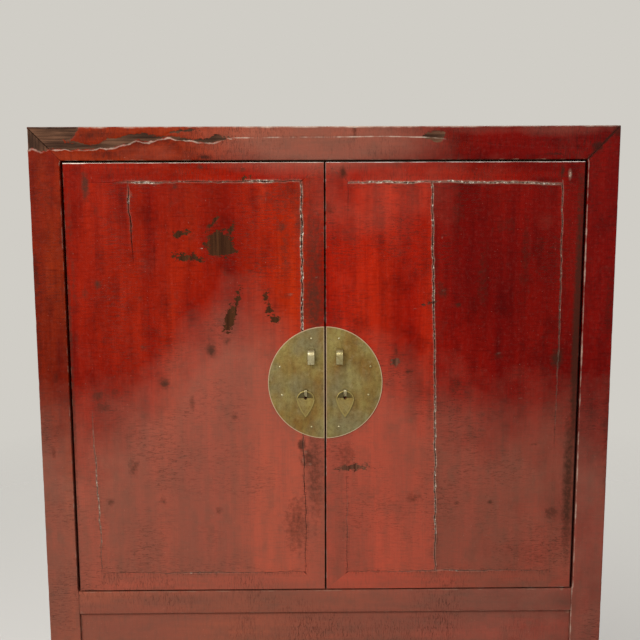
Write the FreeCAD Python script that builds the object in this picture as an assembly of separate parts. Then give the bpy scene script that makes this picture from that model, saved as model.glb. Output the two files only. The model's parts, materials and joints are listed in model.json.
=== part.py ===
import FreeCAD, Part
import os

Vector = FreeCAD.Vector

# A square-cornered two-door cabinet of lacquered elm with a round brass lock plate.
# Millimetres. X runs along the front, Y from front to back, Z up from the floor.

# Whole cabinet
cabinet_width = 1100.0
cabinet_depth = 540.0
leg_height = 209.0

# Frame of posts and rails
post_width = 60.0
post_depth = 56.0
top_rail_height = 62.0
rail_height = 46.0
tenon_thickness = 12.0
tenon_setback = 14.0
tenon_wall = 20.0
tenon_web = 5.0
tenon_margin = 2.0
joint_play = 0.4

# Hidden tenons on the post tops, inside the three-way mitre
corner_tenon_inset = 34.0
corner_tenon_width = 14.0
corner_tenon_setback = 20.0
corner_tenon_thickness = 8.0
corner_tenon_cover = 18.0

# Boards held in grooves of the frame
board_recess = 6.0
board_thickness = 10.0
groove_depth = 8.0
plank_gap = 0.3
side_plank_count = 2
back_plank_count = 4
compartment_board_height = 250.0

# Top
top_board_recess = 2.0
top_board_thickness = 14.0
top_tongue_thickness = 7.0
top_plank_count = 3
top_batten_width = 44.0
top_batten_height = 30.0

# Floor of the hidden compartment and its lift-out lids
ledge_width = 12.0
floor_thickness = 14.0
floor_plank_count = 4
lid_thickness = 14.0
lid_play = 0.5
finger_hole_radius = 15.0
finger_hole_setback = 70.0

# Shelf
shelf_rise = 410.0
shelf_thickness = 14.0
shelf_plank_count = 4
shelf_rail_height = 40.0
shelf_front_rail_depth = 18.0
shelf_ledge = 9.0
shelf_tenon_length = 14.0
shelf_tenon_shoulder = 6.0

# Doors on wooden pivots
door_height = 840.0
door_thickness = 28.0
door_top_gap = 4.0
door_bottom_gap = 3.0
door_side_gap = 3.0
door_middle_gap = 3.0
door_arris_radius = 5.5
stile_width = 43.0
door_rail_height = 36.0
door_board_thickness = 16.0
door_tongue_thickness = 8.0
door_tongue_depth = 8.0
door_tenon_thickness = 7.0
door_tenon_length = 26.0
door_tenon_shoulder = 9.0
left_board_joint = 363.0
right_board_joint = 208.0
door_batten_count = 2
door_batten_height = 40.0
door_batten_housing = 6.0
pivot_inset = 13.0
pivot_setback = 12.0
pivot_radius = 8.0
pivot_play = 0.08
upper_pivot_length = 26.0
upper_pivot_headroom = 3.0
lower_pivot_length = 14.0
stop_depth = 12.0
stop_height = 8.0
stop_gap = 0.8
stop_end_clearance = 2.0

# Brass lock plate in two halves, with its nails
plate_radius = 110.0
plate_thickness = 1.5
plate_edge_inset = 0.4
nail_head_radius = 2.2
nail_head_height = 1.3
nail_shank_radius = 0.9
nail_length = 12.0
nail_play = 0.05
nail_place_shares = ((0.24, 0.79), (0.79, 0.29), (0.755, -0.215), (0.24, -0.79))

# Brass staples that take the bolt of a padlock
staple_offset = 27.3
staple_rise = 51.5
staple_width = 13.6
staple_height = 31.0
staple_reach = 13.0
staple_thickness = 2.2
staple_shoulder_radius = 9.0
staple_foot_radius = 3.0
staple_play = 0.1
clench_length = 12.0

# Brass leaf pulls on split cotters
pull_offset = 38.0
pull_drop = 16.4
pull_width = 35.0
pull_height = 52.3
pull_rim_radius = 1.3
pull_leaf_thickness = 1.4
pull_play = 0.35
pull_window_drop = 13.0
pull_notch_radius = 3.2
pull_shoulder_share = 0.33
pull_bulge_shares = (0.67, 0.475)
pull_inner_tip_share = 1.5
cotter_width = 5.5
cotter_thickness = 1.3
cotter_eye_radius = 2.2
cotter_eye_rise = 0.4
cotter_heel_drop = 9.5
cotter_hole_radius = 3.2
cotter_hole_drop = 12.0
cotter_play = 0.1

# Aprons under the bottom rails
apron_height = 42.0
apron_thickness = 20.0
apron_setback = 10.0
spandrel_width = 120.0
spandrel_height = 96.0
side_spandrel_width = 84.0
spandrel_sweep_shares = (0.24, 0.06)
spandrel_cusp_shares = (0.42, 0.25)
spandrel_hollow_shares = (0.69, 0.47)
spandrel_foot_share = 0.80

# How far a cut runs past the faces that it opens
overrun = 1.0

# Places worked out from the sizes above
half_width = cabinet_width / 2
post_inner = half_width - post_width
fitting_projection = plate_thickness + staple_reach
front_y = -(cabinet_depth - fitting_projection) / 2
back_y = front_y + cabinet_depth
middle_y = (front_y + back_y) / 2
post_back_y = front_y + post_depth
rear_post_y = back_y - post_depth
bottom_rail_z = leg_height
bottom_rail_top_z = bottom_rail_z + rail_height
sill_bottom_z = bottom_rail_top_z + compartment_board_height
sill_top_z = sill_bottom_z + rail_height
door_bottom_z = sill_top_z + door_bottom_gap
door_top_z = door_bottom_z + door_height
opening_top_z = door_top_z + door_top_gap
top_z = opening_top_z + top_rail_height
shelf_top_z = sill_top_z + shelf_rise
plate_z = door_bottom_z + door_height / 2
plate_face_y = front_y - plate_thickness
door_back_y = front_y + door_thickness
door_inner_x = door_middle_gap / 2
door_outer_x = post_inner - door_side_gap
pivot_x = door_outer_x - pivot_inset
pivot_y = front_y + pivot_setback
board_bite = groove_depth - joint_play
top_board_z = top_z - top_board_recess - top_board_thickness
tenon_step = groove_depth + joint_play + tenon_margin
front_tenon_length = post_width - tenon_wall
side_tenon_length = post_depth - tenon_setback - tenon_thickness - tenon_web


def block(x_low, x_high, y_low, y_high, z_low, z_high):
    corner = Vector(x_low, y_low, z_low)
    return Part.makeBox(x_high - x_low, y_high - y_low, z_high - z_low, corner)


def prism(points, along):
    outline = [Vector(*p) for p in points]
    outline.append(outline[0])
    return Part.Face(Part.makePolygon(outline)).extrude(Vector(*along))


def mirror_x(shape):
    return shape.mirror(Vector(0, 0, 0), Vector(1, 0, 0))


def mirror_y(shape):
    return shape.mirror(Vector(0, middle_y, 0), Vector(0, 1, 0))


def both_sides(shapes):
    return list(shapes) + [mirror_x(s) for s in shapes]


def joined(first, others):
    return first.fuse(list(others)).removeSplitter()


def save(name, shapes):
    solids = []
    for shape in shapes:
        solids.extend(shape.Solids)
    whole = solids[0] if len(solids) == 1 else Part.makeCompound(solids)
    whole.exportStep(os.path.join("parts", name + ".step"))


def even_places(low, high, count):
    return [low + (high - low) * i / count for i in range(1, count)]


def split_across_x(board, places):
    half = plank_gap / 2
    reach = cabinet_depth
    kerfs = [block(x - half, x + half, -reach, reach, 0, top_z) for x in places]
    return board.cut(kerfs).Solids if kerfs else [board]


def split_across_y(board, places):
    half = plank_gap / 2
    reach = cabinet_width
    kerfs = [block(-reach, reach, y - half, y + half, 0, top_z) for y in places]
    return board.cut(kerfs).Solids if kerfs else [board]


# Boards stand in grooves that are deeper by the play
def side_board(bite, z_low, z_high):
    outer = half_width - board_recess
    inner = outer - board_thickness
    near, far = post_back_y - bite, rear_post_y + bite
    return block(inner, outer, near, far, z_low - bite, z_high + bite)


def side_boards(z_low, z_high):
    joints = even_places(post_back_y, rear_post_y, side_plank_count)
    return split_across_y(side_board(board_bite, z_low, z_high), joints)


def back_board(bite, z_low, z_high):
    outer = back_y - board_recess
    inner = outer - board_thickness
    reach = post_inner + bite
    return block(-reach, reach, inner, outer, z_low - bite, z_high + bite)


def back_boards(z_low, z_high):
    joints = even_places(-post_inner, post_inner, back_plank_count)
    return split_across_x(back_board(board_bite, z_low, z_high), joints)


def front_board(bite):
    reach = post_inner + bite
    near = front_y + board_recess
    far = near + board_thickness
    return block(-reach, reach, near, far, bottom_rail_top_z - bite, sill_bottom_z + bite)


def top_tongue(bite):
    reach = post_inner + bite
    low = top_board_z
    return block(
        -reach, reach, post_back_y - bite, rear_post_y + bite, low, low + top_tongue_thickness
    )


def top_boards():
    high = top_z - top_board_recess
    face = block(-post_inner, post_inner, post_back_y, rear_post_y, top_board_z, high)
    whole = joined(face, [top_tongue(board_bite)])
    return split_across_y(whole, even_places(post_back_y, rear_post_y, top_plank_count))


def frame_grooves():
    upper = side_board(groove_depth, sill_top_z, opening_top_z)
    lower = side_board(groove_depth, bottom_rail_top_z, sill_bottom_z)
    grooves = both_sides([upper, lower])
    grooves.append(back_board(groove_depth, sill_top_z, opening_top_z))
    grooves.append(back_board(groove_depth, bottom_rail_top_z, sill_bottom_z))
    grooves.append(front_board(groove_depth))
    grooves.append(top_tongue(groove_depth))
    return grooves


# Tenons of the rails, and the mortises that take them
def long_rail_tenons(y_face, inward, z_low, z_high, play):
    near = y_face + inward * tenon_setback
    far = near + inward * tenon_thickness
    y_low, y_high = min(near, far), max(near, far)
    reach = post_inner + front_tenon_length + play
    right = block(post_inner, reach, y_low, y_high, z_low + tenon_step, z_high - tenon_step)
    return both_sides([right])


def side_rail_tenons(z_low, z_high, play):
    outer = half_width - tenon_setback
    inner = outer - tenon_thickness
    low, high = z_low + tenon_step, z_high - tenon_step
    front_end = post_back_y - side_tenon_length - play
    front = block(inner, outer, front_end, post_back_y, low, high)
    return [front, mirror_y(front)]


def frame_mortises():
    cuts = []
    for low, high in ((sill_bottom_z, sill_top_z), (bottom_rail_z, bottom_rail_top_z)):
        cuts += long_rail_tenons(front_y, 1, low, high, joint_play)
        cuts += long_rail_tenons(back_y, -1, low, high, joint_play)
        cuts += both_sides(side_rail_tenons(low, high, joint_play))
    cuts += both_sides(shelf_rail_tenons(joint_play))
    return cuts


# Shelf frame: front and rear rails between the posts, side rails in the side recesses
def shelf_levels():
    return shelf_top_z - shelf_rail_height, shelf_top_z


def shelf_tenon_levels():
    low, high = shelf_levels()
    return low + shelf_tenon_shoulder, high - shelf_thickness - shelf_tenon_shoulder


def shelf_front_span():
    return post_back_y - shelf_front_rail_depth, post_back_y


def shelf_rear_span():
    return rear_post_y, back_y - board_recess - board_thickness


def shelf_rail_tenons(play):
    low, high = shelf_tenon_levels()
    tenons = []
    for near, far in (shelf_front_span(), shelf_rear_span()):
        reach = post_inner + shelf_tenon_length + play
        inset = (far - near - tenon_thickness) / 2
        tenons.append(block(post_inner, reach, near + inset, far - inset, low, high))
    return tenons


def shelf_rails():
    low, high = shelf_levels()
    tenons = both_sides(shelf_rail_tenons(0))
    front_near, front_far = shelf_front_span()
    rear_near, rear_far = shelf_rear_span()
    front = block(-post_inner, post_inner, front_near, front_far, low, high)
    rear = block(-post_inner, post_inner, rear_near, rear_far, low, high)
    front = joined(front, (tenons[0], tenons[2]))
    rear = joined(rear, (tenons[1], tenons[3]))
    ledge_z = high - shelf_thickness
    front = front.cut(
        block(-post_inner, post_inner, front_far - shelf_ledge, front_far + overrun, ledge_z, high)
    )
    rear = rear.cut(
        block(-post_inner, post_inner, rear_near - overrun, rear_near + shelf_ledge, ledge_z, high)
    )
    outer = half_width - board_recess - board_thickness
    side = block(post_inner, outer, post_back_y, rear_post_y, low, high)
    return front, rear, side


def shelf_planks():
    near = shelf_front_span()[1] - shelf_ledge + joint_play
    far = shelf_rear_span()[0] + shelf_ledge - joint_play
    reach = post_inner - joint_play
    board = block(-reach, reach, near, far, shelf_top_z - shelf_thickness, shelf_top_z)
    return split_across_x(board, even_places(-reach, reach, shelf_plank_count))


# Three-way mitre at a top corner, drawn at the right front corner
def mitre_front_wedge():
    points = (
        (half_width, front_y, top_z),
        (post_inner, front_y, top_z),
        (post_inner, front_y, opening_top_z),
    )
    return prism(points, (0, post_depth, 0))


def mitre_post_wedge():
    points = (
        (half_width, front_y, top_z),
        (half_width, front_y, opening_top_z),
        (post_inner, front_y, opening_top_z),
    )
    return prism(points, (0, post_depth, 0))


def mitre_plan_side_wedge():
    points = (
        (half_width, front_y, opening_top_z),
        (half_width, post_back_y, opening_top_z),
        (post_inner, post_back_y, opening_top_z),
    )
    return prism(points, (0, 0, top_rail_height))


def mitre_plan_front_wedge():
    points = (
        (half_width, front_y, opening_top_z),
        (post_inner, front_y, opening_top_z),
        (post_inner, post_back_y, opening_top_z),
    )
    return prism(points, (0, 0, top_rail_height))


def mitre_side_rail_wedge():
    points = (
        (post_inner, front_y, top_z),
        (post_inner, post_back_y, top_z),
        (post_inner, post_back_y, opening_top_z),
    )
    return prism(points, (post_width, 0, 0))


def mitre_side_post_wedge():
    points = (
        (post_inner, front_y, top_z),
        (post_inner, front_y, opening_top_z),
        (post_inner, post_back_y, opening_top_z),
    )
    return prism(points, (post_width, 0, 0))


def corner_tenons(play):
    far_x = half_width - corner_tenon_inset
    near_x = far_x - corner_tenon_width
    near_y = front_y + corner_tenon_setback
    head = top_z - corner_tenon_cover + play
    first = block(near_x, far_x, near_y, near_y + corner_tenon_thickness, opening_top_z, head)
    outer_x = half_width - corner_tenon_setback
    inner_x = outer_x - corner_tenon_thickness
    start_y = front_y + corner_tenon_inset
    second = block(inner_x, outer_x, start_y, start_y + corner_tenon_width, opening_top_z, head)
    return [first, second]


def all_corner_tenons(play):
    front = both_sides(corner_tenons(play))
    return front + [mirror_y(t) for t in front]


def post(is_right, is_front):
    shape = block(post_inner, half_width, front_y, post_back_y, 0, top_z)
    shape = shape.cut([mitre_front_wedge(), mitre_side_rail_wedge()])
    shape = joined(shape, corner_tenons(0))
    if not is_right:
        shape = mirror_x(shape)
    if not is_front:
        shape = mirror_y(shape)
    return shape.cut(frame_mortises() + frame_grooves())


def top_long_rail(is_front):
    shape = block(-half_width, half_width, front_y, post_back_y, opening_top_z, top_z)
    shape = shape.cut(both_sides([mitre_post_wedge(), mitre_plan_side_wedge()]))
    if not is_front:
        shape = mirror_y(shape)
    cuts = all_corner_tenons(joint_play) + frame_grooves() + [top_batten(joint_play)]
    if is_front:
        cuts += both_sides([upper_socket()])
    return shape.cut(cuts)


def top_side_rail():
    shape = block(post_inner, half_width, front_y, back_y, opening_top_z, top_z)
    front_cuts = [mitre_plan_front_wedge(), mitre_side_post_wedge()]
    shape = shape.cut(front_cuts + [mirror_y(c) for c in front_cuts])
    return shape.cut(all_corner_tenons(joint_play) + frame_grooves())


def top_batten(play):
    low = top_board_z - top_batten_height
    half = top_batten_width / 2
    bite = groove_depth + play
    return block(-half, half, post_back_y - bite, rear_post_y + bite, low, top_board_z)


# Rails below the doors and round the hidden compartment
def long_rail(is_front, z_low, z_high, ledge_depth):
    shape = block(-post_inner, post_inner, front_y, post_back_y, z_low, z_high)
    shape = joined(shape, long_rail_tenons(front_y, 1, z_low, z_high, 0))
    ledge = post_back_y - ledge_width
    shape = shape.cut(
        block(-post_inner, post_inner, ledge, post_back_y + overrun, z_high - ledge_depth, z_high)
    )
    if not is_front:
        shape = mirror_y(shape)
    return shape.cut(frame_grooves())


def side_rail(z_low, z_high):
    shape = block(post_inner, half_width, post_back_y, rear_post_y, z_low, z_high)
    shape = joined(shape, side_rail_tenons(z_low, z_high, 0))
    return shape.cut(frame_grooves())


def floor_planks():
    near = post_back_y - ledge_width + joint_play
    far = rear_post_y + ledge_width - joint_play
    reach = post_inner - joint_play
    high = bottom_rail_top_z
    board = block(-reach, reach, near, far, high - floor_thickness, high)
    return split_across_x(board, even_places(-reach, reach, floor_plank_count))


def lid():
    near = post_back_y - ledge_width + lid_play
    far = rear_post_y + ledge_width - lid_play
    low = sill_top_z - lid_thickness
    board = block(lid_play / 2, post_inner - lid_play, near, far, low, sill_top_z)
    centre = Vector(post_inner / 2, near + finger_hole_setback, low - overrun)
    hole = Part.makeCylinder(finger_hole_radius, lid_thickness + 2 * overrun, centre)
    return board.cut(hole)


# Aprons and their end brackets
def spandrel_place(width, shares):
    drop = spandrel_height - apron_height
    return Vector(shares[0] * width, 0, -apron_height - shares[1] * drop)


def spandrel_face(width):
    height = spandrel_height
    start = Vector(0, 0, -apron_height)
    sweep = spandrel_place(width, spandrel_sweep_shares)
    cusp = spandrel_place(width, spandrel_cusp_shares)
    hollow = spandrel_place(width, spandrel_hollow_shares)
    foot = Vector(spandrel_foot_share * width, 0, -height)
    corner = Vector(width, 0, -height)
    edges = [
        Part.LineSegment(Vector(0, 0, 0), start).toShape(),
        Part.Arc(start, sweep, cusp).toShape(),
        Part.Arc(cusp, hollow, foot).toShape(),
        Part.LineSegment(foot, corner).toShape(),
        Part.LineSegment(corner, Vector(width, 0, 0)).toShape(),
        Part.LineSegment(Vector(width, 0, 0), Vector(0, 0, 0)).toShape(),
    ]
    return Part.Face(Part.Wire(edges))


def front_apron():
    near = front_y + apron_setback
    reach = post_inner - spandrel_width
    low = bottom_rail_z - apron_height
    return block(-reach, reach, near, near + apron_thickness, low, bottom_rail_z)


def front_spandrels():
    bracket = spandrel_face(spandrel_width).extrude(Vector(0, apron_thickness, 0))
    bracket.translate(Vector(post_inner - spandrel_width, front_y + apron_setback, bottom_rail_z))
    return both_sides([bracket])


def side_apron():
    outer = half_width - apron_setback
    inner = outer - apron_thickness
    low = bottom_rail_z - apron_height
    near = post_back_y + side_spandrel_width
    strip = block(inner, outer, near, middle_y * 2 - near, low, bottom_rail_z)
    bracket = spandrel_face(side_spandrel_width).extrude(Vector(0, apron_thickness, 0))
    bracket.rotate(Vector(0, 0, 0), Vector(0, 0, 1), -90)
    bracket.translate(Vector(inner, near, bottom_rail_z))
    return [strip, bracket, mirror_y(bracket)]


# Doors, drawn on the right-hand side
def upper_socket():
    radius = pivot_radius + pivot_play
    depth = door_top_gap + upper_pivot_length + upper_pivot_headroom
    return Part.makeCylinder(radius, depth, Vector(pivot_x, pivot_y, door_top_z))


def lower_socket():
    radius = pivot_radius + pivot_play
    depth = door_bottom_gap + lower_pivot_length
    return Part.makeCylinder(radius, depth, Vector(pivot_x, pivot_y, door_bottom_z - depth))


def door_opening():
    left = door_inner_x + stile_width
    right = door_outer_x - stile_width
    return left, right, door_bottom_z + door_rail_height, door_top_z - door_rail_height


def door_tongue_span():
    far = front_y + door_board_thickness
    return far - door_tongue_thickness, far


def door_tongue(bite):
    left, right, low, high = door_opening()
    near, far = door_tongue_span()
    return block(left - bite, right + bite, near, far, low - bite, high + bite)


def door_boards(joint_x):
    left, right, low, high = door_opening()
    face = block(left, right, front_y, door_tongue_span()[1], low, high)
    whole = joined(face, [door_tongue(door_tongue_depth - joint_play)])
    return split_across_x(whole.cut(nail_holes() + [cotter_slot(door_back_y)]), [joint_x])


def door_groove():
    return door_tongue(door_tongue_depth)


def stop_strips():
    reach = pivot_x - (door_thickness - pivot_setback) - stop_end_clearance
    near = door_back_y + stop_gap
    far = near + stop_depth
    upper = block(-reach, reach, near, far, opening_top_z - stop_height, opening_top_z)
    lower = block(-reach, reach, near, far, sill_top_z, sill_top_z + stop_height)
    return [upper, lower]


def door_battens(play):
    left, right, low, high = door_opening()
    bite = door_batten_housing + play
    near = front_y + door_board_thickness
    pitch = (high - low) / door_batten_count
    battens = []
    for i in range(door_batten_count):
        centre = low + pitch * (i + 0.5)
        bottom = centre - door_batten_height / 2
        top = centre + door_batten_height / 2
        battens.append(block(left - bite, right + bite, near, door_back_y, bottom, top))
    return battens


def door_rail_tenons(play):
    left, right, low, high = door_opening()
    far = door_back_y - (door_thickness - door_board_thickness - door_tenon_thickness) / 2
    near = far - door_tenon_thickness
    length = door_tenon_length + play
    half = door_rail_height - 2 * door_tenon_shoulder
    tenons = []
    for z_low in (door_bottom_z + door_tenon_shoulder, door_top_z - door_tenon_shoulder - half):
        hinge_end = block(right, right + length, near, far, z_low, z_low + half)
        meeting_end = block(left - length, left, near, far, z_low, z_low + half)
        tenons.append((hinge_end, meeting_end))
    return tenons


def meeting_mitre(is_top):
    left = door_inner_x
    right = door_inner_x + stile_width
    outer = door_top_z if is_top else door_bottom_z
    inner = outer - door_rail_height if is_top else outer + door_rail_height
    points = ((left, front_y, outer), (right, front_y, outer), (right, front_y, inner))
    return prism(points, (0, door_thickness, 0))


def door_rail(is_top):
    left, right, low, high = door_opening()
    z_low, z_high = (high, door_top_z) if is_top else (door_bottom_z, low)
    hinge_end, meeting_end = door_rail_tenons(0)[1 if is_top else 0]
    body = block(left, right, front_y, door_back_y, z_low, z_high)
    shape = joined(body, [meeting_mitre(is_top), hinge_end, meeting_end])
    return shape.cut(door_groove())


def hinge_stile():
    inner = door_outer_x - stile_width
    z = door_bottom_z
    bend = door_arris_radius * (1 - 0.5**0.5)
    front_start = Vector(door_outer_x - door_arris_radius, front_y, z)
    middle = Vector(door_outer_x - bend, front_y + bend, z)
    side_end = Vector(door_outer_x, front_y + door_arris_radius, z)
    back_corner = Vector(door_outer_x, door_back_y, z)
    back_inner = Vector(inner, door_back_y, z)
    front_inner = Vector(inner, front_y, z)
    edges = [
        Part.LineSegment(front_inner, front_start).toShape(),
        Part.Arc(front_start, middle, side_end).toShape(),
        Part.LineSegment(side_end, back_corner).toShape(),
        Part.LineSegment(back_corner, back_inner).toShape(),
        Part.LineSegment(back_inner, front_inner).toShape(),
    ]
    shape = Part.Face(Part.Wire(edges)).extrude(Vector(0, 0, door_height))
    upper = Part.makeCylinder(
        pivot_radius, door_top_gap + upper_pivot_length, Vector(pivot_x, pivot_y, door_top_z)
    )
    drop = door_bottom_gap + lower_pivot_length
    lower = Part.makeCylinder(pivot_radius, drop, Vector(pivot_x, pivot_y, door_bottom_z - drop))
    shape = joined(shape, [upper, lower])
    cuts = [door_groove()] + door_battens(joint_play)
    cuts += [pair[0] for pair in door_rail_tenons(joint_play)]
    return shape.cut(cuts)


def meeting_stile():
    shape = block(
        door_inner_x,
        door_inner_x + stile_width,
        front_y,
        door_back_y,
        door_bottom_z,
        door_top_z,
    )
    cuts = [meeting_mitre(True), meeting_mitre(False), door_groove()]
    cuts += door_battens(joint_play)
    cuts += [pair[1] for pair in door_rail_tenons(joint_play)]
    cuts += staple_legs(staple_play) + [cotter_slot(door_back_y)] + nail_holes()
    return shape.cut(cuts)


# Brass fittings, drawn on the right-hand side
def nail_places():
    return [(a * plate_radius, plate_z + b * plate_radius) for a, b in nail_place_shares]


def nail_holes():
    holes = []
    for x, z in nail_places():
        start = Vector(x, plate_face_y - overrun, z)
        length = plate_thickness + nail_length + overrun
        radius = nail_shank_radius + nail_play
        holes.append(Part.makeCylinder(radius, length, start, Vector(0, 1, 0)))
    return holes


def plate_nails():
    nails = []
    for x, z in nail_places():
        shank_end = plate_thickness + nail_length - joint_play
        shank = Part.makeCylinder(
            nail_shank_radius, shank_end, Vector(x, plate_face_y, z), Vector(0, 1, 0)
        )
        dome_radius = (nail_head_radius**2 + nail_head_height**2) / (2 * nail_head_height)
        centre = Vector(x, plate_face_y - nail_head_height + dome_radius, z)
        dome = Part.makeSphere(dome_radius, centre)
        span = dome_radius
        front = block(x - span, x + span, plate_face_y - span, plate_face_y, z - span, z + span)
        nails.append(joined(dome.common(front), [shank]))
    return nails


def lock_plate():
    disc = Part.makeCylinder(
        plate_radius, plate_thickness, Vector(0, plate_face_y, plate_z), Vector(0, 1, 0)
    )
    edge = door_inner_x + plate_edge_inset
    spare = plate_radius + overrun
    away = block(
        -spare,
        edge,
        plate_face_y - overrun,
        front_y + overrun,
        plate_z - spare,
        plate_z + spare,
    )
    return disc.cut([away, cotter_slot(front_y)] + staple_legs(staple_play) + nail_holes())


def staple_z():
    return plate_z + staple_rise


def staple_legs(play):
    left = staple_offset - staple_width / 2 - play
    right = staple_offset + staple_width / 2 + play
    legs = []
    for direction in (1, -1):
        outer = staple_z() + direction * (staple_height / 2 + play)
        inner = staple_z() + direction * (staple_height / 2 - staple_thickness - play)
        low, high = min(outer, inner), max(outer, inner)
        legs.append(block(left, right, plate_face_y, door_back_y, low, high))
    return legs


def staple_bow(inset):
    left = staple_offset - staple_width / 2
    top = staple_z() + staple_height / 2 - inset
    foot = staple_z() - staple_height / 2 + inset
    front = plate_face_y - staple_reach + inset
    shoulder = staple_shoulder_radius - inset
    heel = staple_foot_radius - inset
    corner = 1 - 0.5**0.5
    edges = [
        Part.LineSegment(
            Vector(left, plate_face_y, top), Vector(left, front + shoulder, top)
        ).toShape(),
        Part.Arc(
            Vector(left, front + shoulder, top),
            Vector(left, front + shoulder * corner, top - shoulder * corner),
            Vector(left, front, top - shoulder),
        ).toShape(),
        Part.LineSegment(
            Vector(left, front, top - shoulder), Vector(left, front, foot + heel)
        ).toShape(),
        Part.Arc(
            Vector(left, front, foot + heel),
            Vector(left, front + heel * corner, foot + heel * corner),
            Vector(left, front + heel, foot),
        ).toShape(),
        Part.LineSegment(
            Vector(left, front + heel, foot), Vector(left, plate_face_y, foot)
        ).toShape(),
        Part.LineSegment(
            Vector(left, plate_face_y, foot), Vector(left, plate_face_y, top)
        ).toShape(),
    ]
    return Part.Face(Part.Wire(edges)).extrude(Vector(staple_width, 0, 0))


def lock_staple():
    half = staple_height / 2
    bow = staple_bow(0).cut(staple_bow(staple_thickness))
    left = staple_offset - staple_width / 2
    right = staple_offset + staple_width / 2
    clenches = []
    for direction in (1, -1):
        start = staple_z() + direction * (half - staple_thickness)
        end = staple_z() + direction * (half + clench_length)
        low, high = min(start, end), max(start, end)
        back = door_back_y + staple_thickness
        clenches.append(block(left, right, door_back_y, back, low, high))
    return joined(bow, staple_legs(0) + clenches)


def pull_axis():
    return plate_face_y - pull_play - pull_rim_radius, plate_z - pull_drop


def cotter_legs():
    left = pull_offset - cotter_width / 2
    right = pull_offset + cotter_width / 2
    top = pull_axis()[1] + cotter_eye_rise + cotter_eye_radius
    foot = pull_axis()[1] - cotter_heel_drop
    upper = block(left, right, pull_axis()[0], door_back_y, top, top + cotter_thickness)
    lower = block(left, right, plate_face_y, door_back_y, foot - cotter_thickness, foot)
    return [upper, lower]


def cotter_slot(y_far):
    left = pull_offset - cotter_width / 2 - cotter_play
    right = pull_offset + cotter_width / 2 + cotter_play
    axis_z = pull_axis()[1]
    low = axis_z - cotter_hole_drop
    high = axis_z + cotter_eye_rise + cotter_eye_radius + cotter_thickness + cotter_play
    slot = block(left, right, plate_face_y - overrun, y_far, low, high)
    start = Vector(pull_offset, plate_face_y - overrun, low)
    length = y_far - plate_face_y + overrun
    hole = Part.makeCylinder(cotter_hole_radius, length, start, Vector(0, 1, 0))
    return joined(slot, [hole])


def cotter_profile(inset):
    axis_y, axis_z = pull_axis()
    left = pull_offset - cotter_width / 2
    radius = cotter_eye_radius + cotter_thickness - inset
    arch_z = axis_z + cotter_eye_rise
    foot = axis_z - cotter_heel_drop - cotter_thickness + inset
    corner = 0.5**0.5
    rear_top = Vector(left, plate_face_y, arch_z + radius)
    top = Vector(left, axis_y, arch_z + radius)
    middle = Vector(left, axis_y - radius * corner, arch_z + radius * corner)
    front = Vector(left, axis_y - radius, arch_z)
    heel = Vector(left, plate_face_y, foot)
    edges = [
        Part.LineSegment(rear_top, top).toShape(),
        Part.Arc(top, middle, front).toShape(),
        Part.LineSegment(front, heel).toShape(),
        Part.LineSegment(heel, rear_top).toShape(),
    ]
    return Part.Face(Part.Wire(edges)).extrude(Vector(cotter_width, 0, 0))


def pull_cotter():
    eye = cotter_profile(0).cut(cotter_profile(cotter_thickness))
    legs = cotter_legs()
    left = pull_offset - cotter_width / 2
    right = pull_offset + cotter_width / 2
    back = door_back_y + cotter_thickness
    upper, lower = legs[0].BoundBox, legs[1].BoundBox
    slot_foot = pull_axis()[1] - cotter_hole_drop - cotter_hole_radius
    up = block(left, right, door_back_y, back, upper.ZMin, upper.ZMax + clench_length)
    down = block(left, right, door_back_y, back, slot_foot - clench_length, lower.ZMax)
    return joined(eye, legs + [up, down])


def leaf_prism(margin, thickness):
    axis_y, axis_z = pull_axis()
    top = axis_z + pull_rim_radius
    half = pull_width / 2 - margin
    shoulder_z = top - pull_shoulder_share * pull_height
    crown = Vector(pull_offset, 0, shoulder_z + half)
    right = Vector(pull_offset + half, 0, shoulder_z)
    left = Vector(pull_offset - half, 0, shoulder_z)
    tip = Vector(pull_offset, 0, top - pull_height + margin * pull_inner_tip_share)
    bulge = pull_bulge_shares[0] * half
    bulge_z = shoulder_z - (shoulder_z - tip.z) * pull_bulge_shares[1]
    right_bulge = Vector(pull_offset + bulge, 0, bulge_z)
    left_bulge = Vector(pull_offset - bulge, 0, bulge_z)
    edges = [
        Part.Arc(left, crown, right).toShape(),
        Part.Arc(right, right_bulge, tip).toShape(),
        Part.Arc(tip, left_bulge, left).toShape(),
    ]
    shape = Part.Face(Part.Wire(edges)).extrude(Vector(0, thickness, 0))
    shape.translate(Vector(0, axis_y - thickness / 2, 0))
    return shape, shoulder_z


def leaf_pull():
    axis_y, axis_z = pull_axis()
    rim = 2 * pull_rim_radius
    outer, shoulder_z = leaf_prism(0, rim)
    inner, _ = leaf_prism(rim, rim)
    leaf, _ = leaf_prism(rim, pull_leaf_thickness)
    left = pull_offset - pull_width
    right = pull_offset + pull_width
    above = block(left, right, axis_y - rim, axis_y + rim, shoulder_z, axis_z + pull_width)
    lower_rim = outer.cut([inner, above])
    centre = Vector(pull_offset, axis_y, shoulder_z)
    bow = Part.makeTorus(pull_width / 2 - pull_rim_radius, pull_rim_radius, centre, Vector(0, 1, 0))
    bow = bow.common(above)
    window_z = axis_z - pull_window_drop
    window = block(left, right, axis_y - rim, axis_y + rim, window_z, axis_z + pull_width)
    notch = Part.makeCylinder(
        pull_notch_radius,
        2 * rim,
        Vector(pull_offset, axis_y - rim, window_z),
        Vector(0, 1, 0),
    )
    leaf = leaf.cut([window, notch])
    return joined(lower_rim, [bow, leaf])


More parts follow.
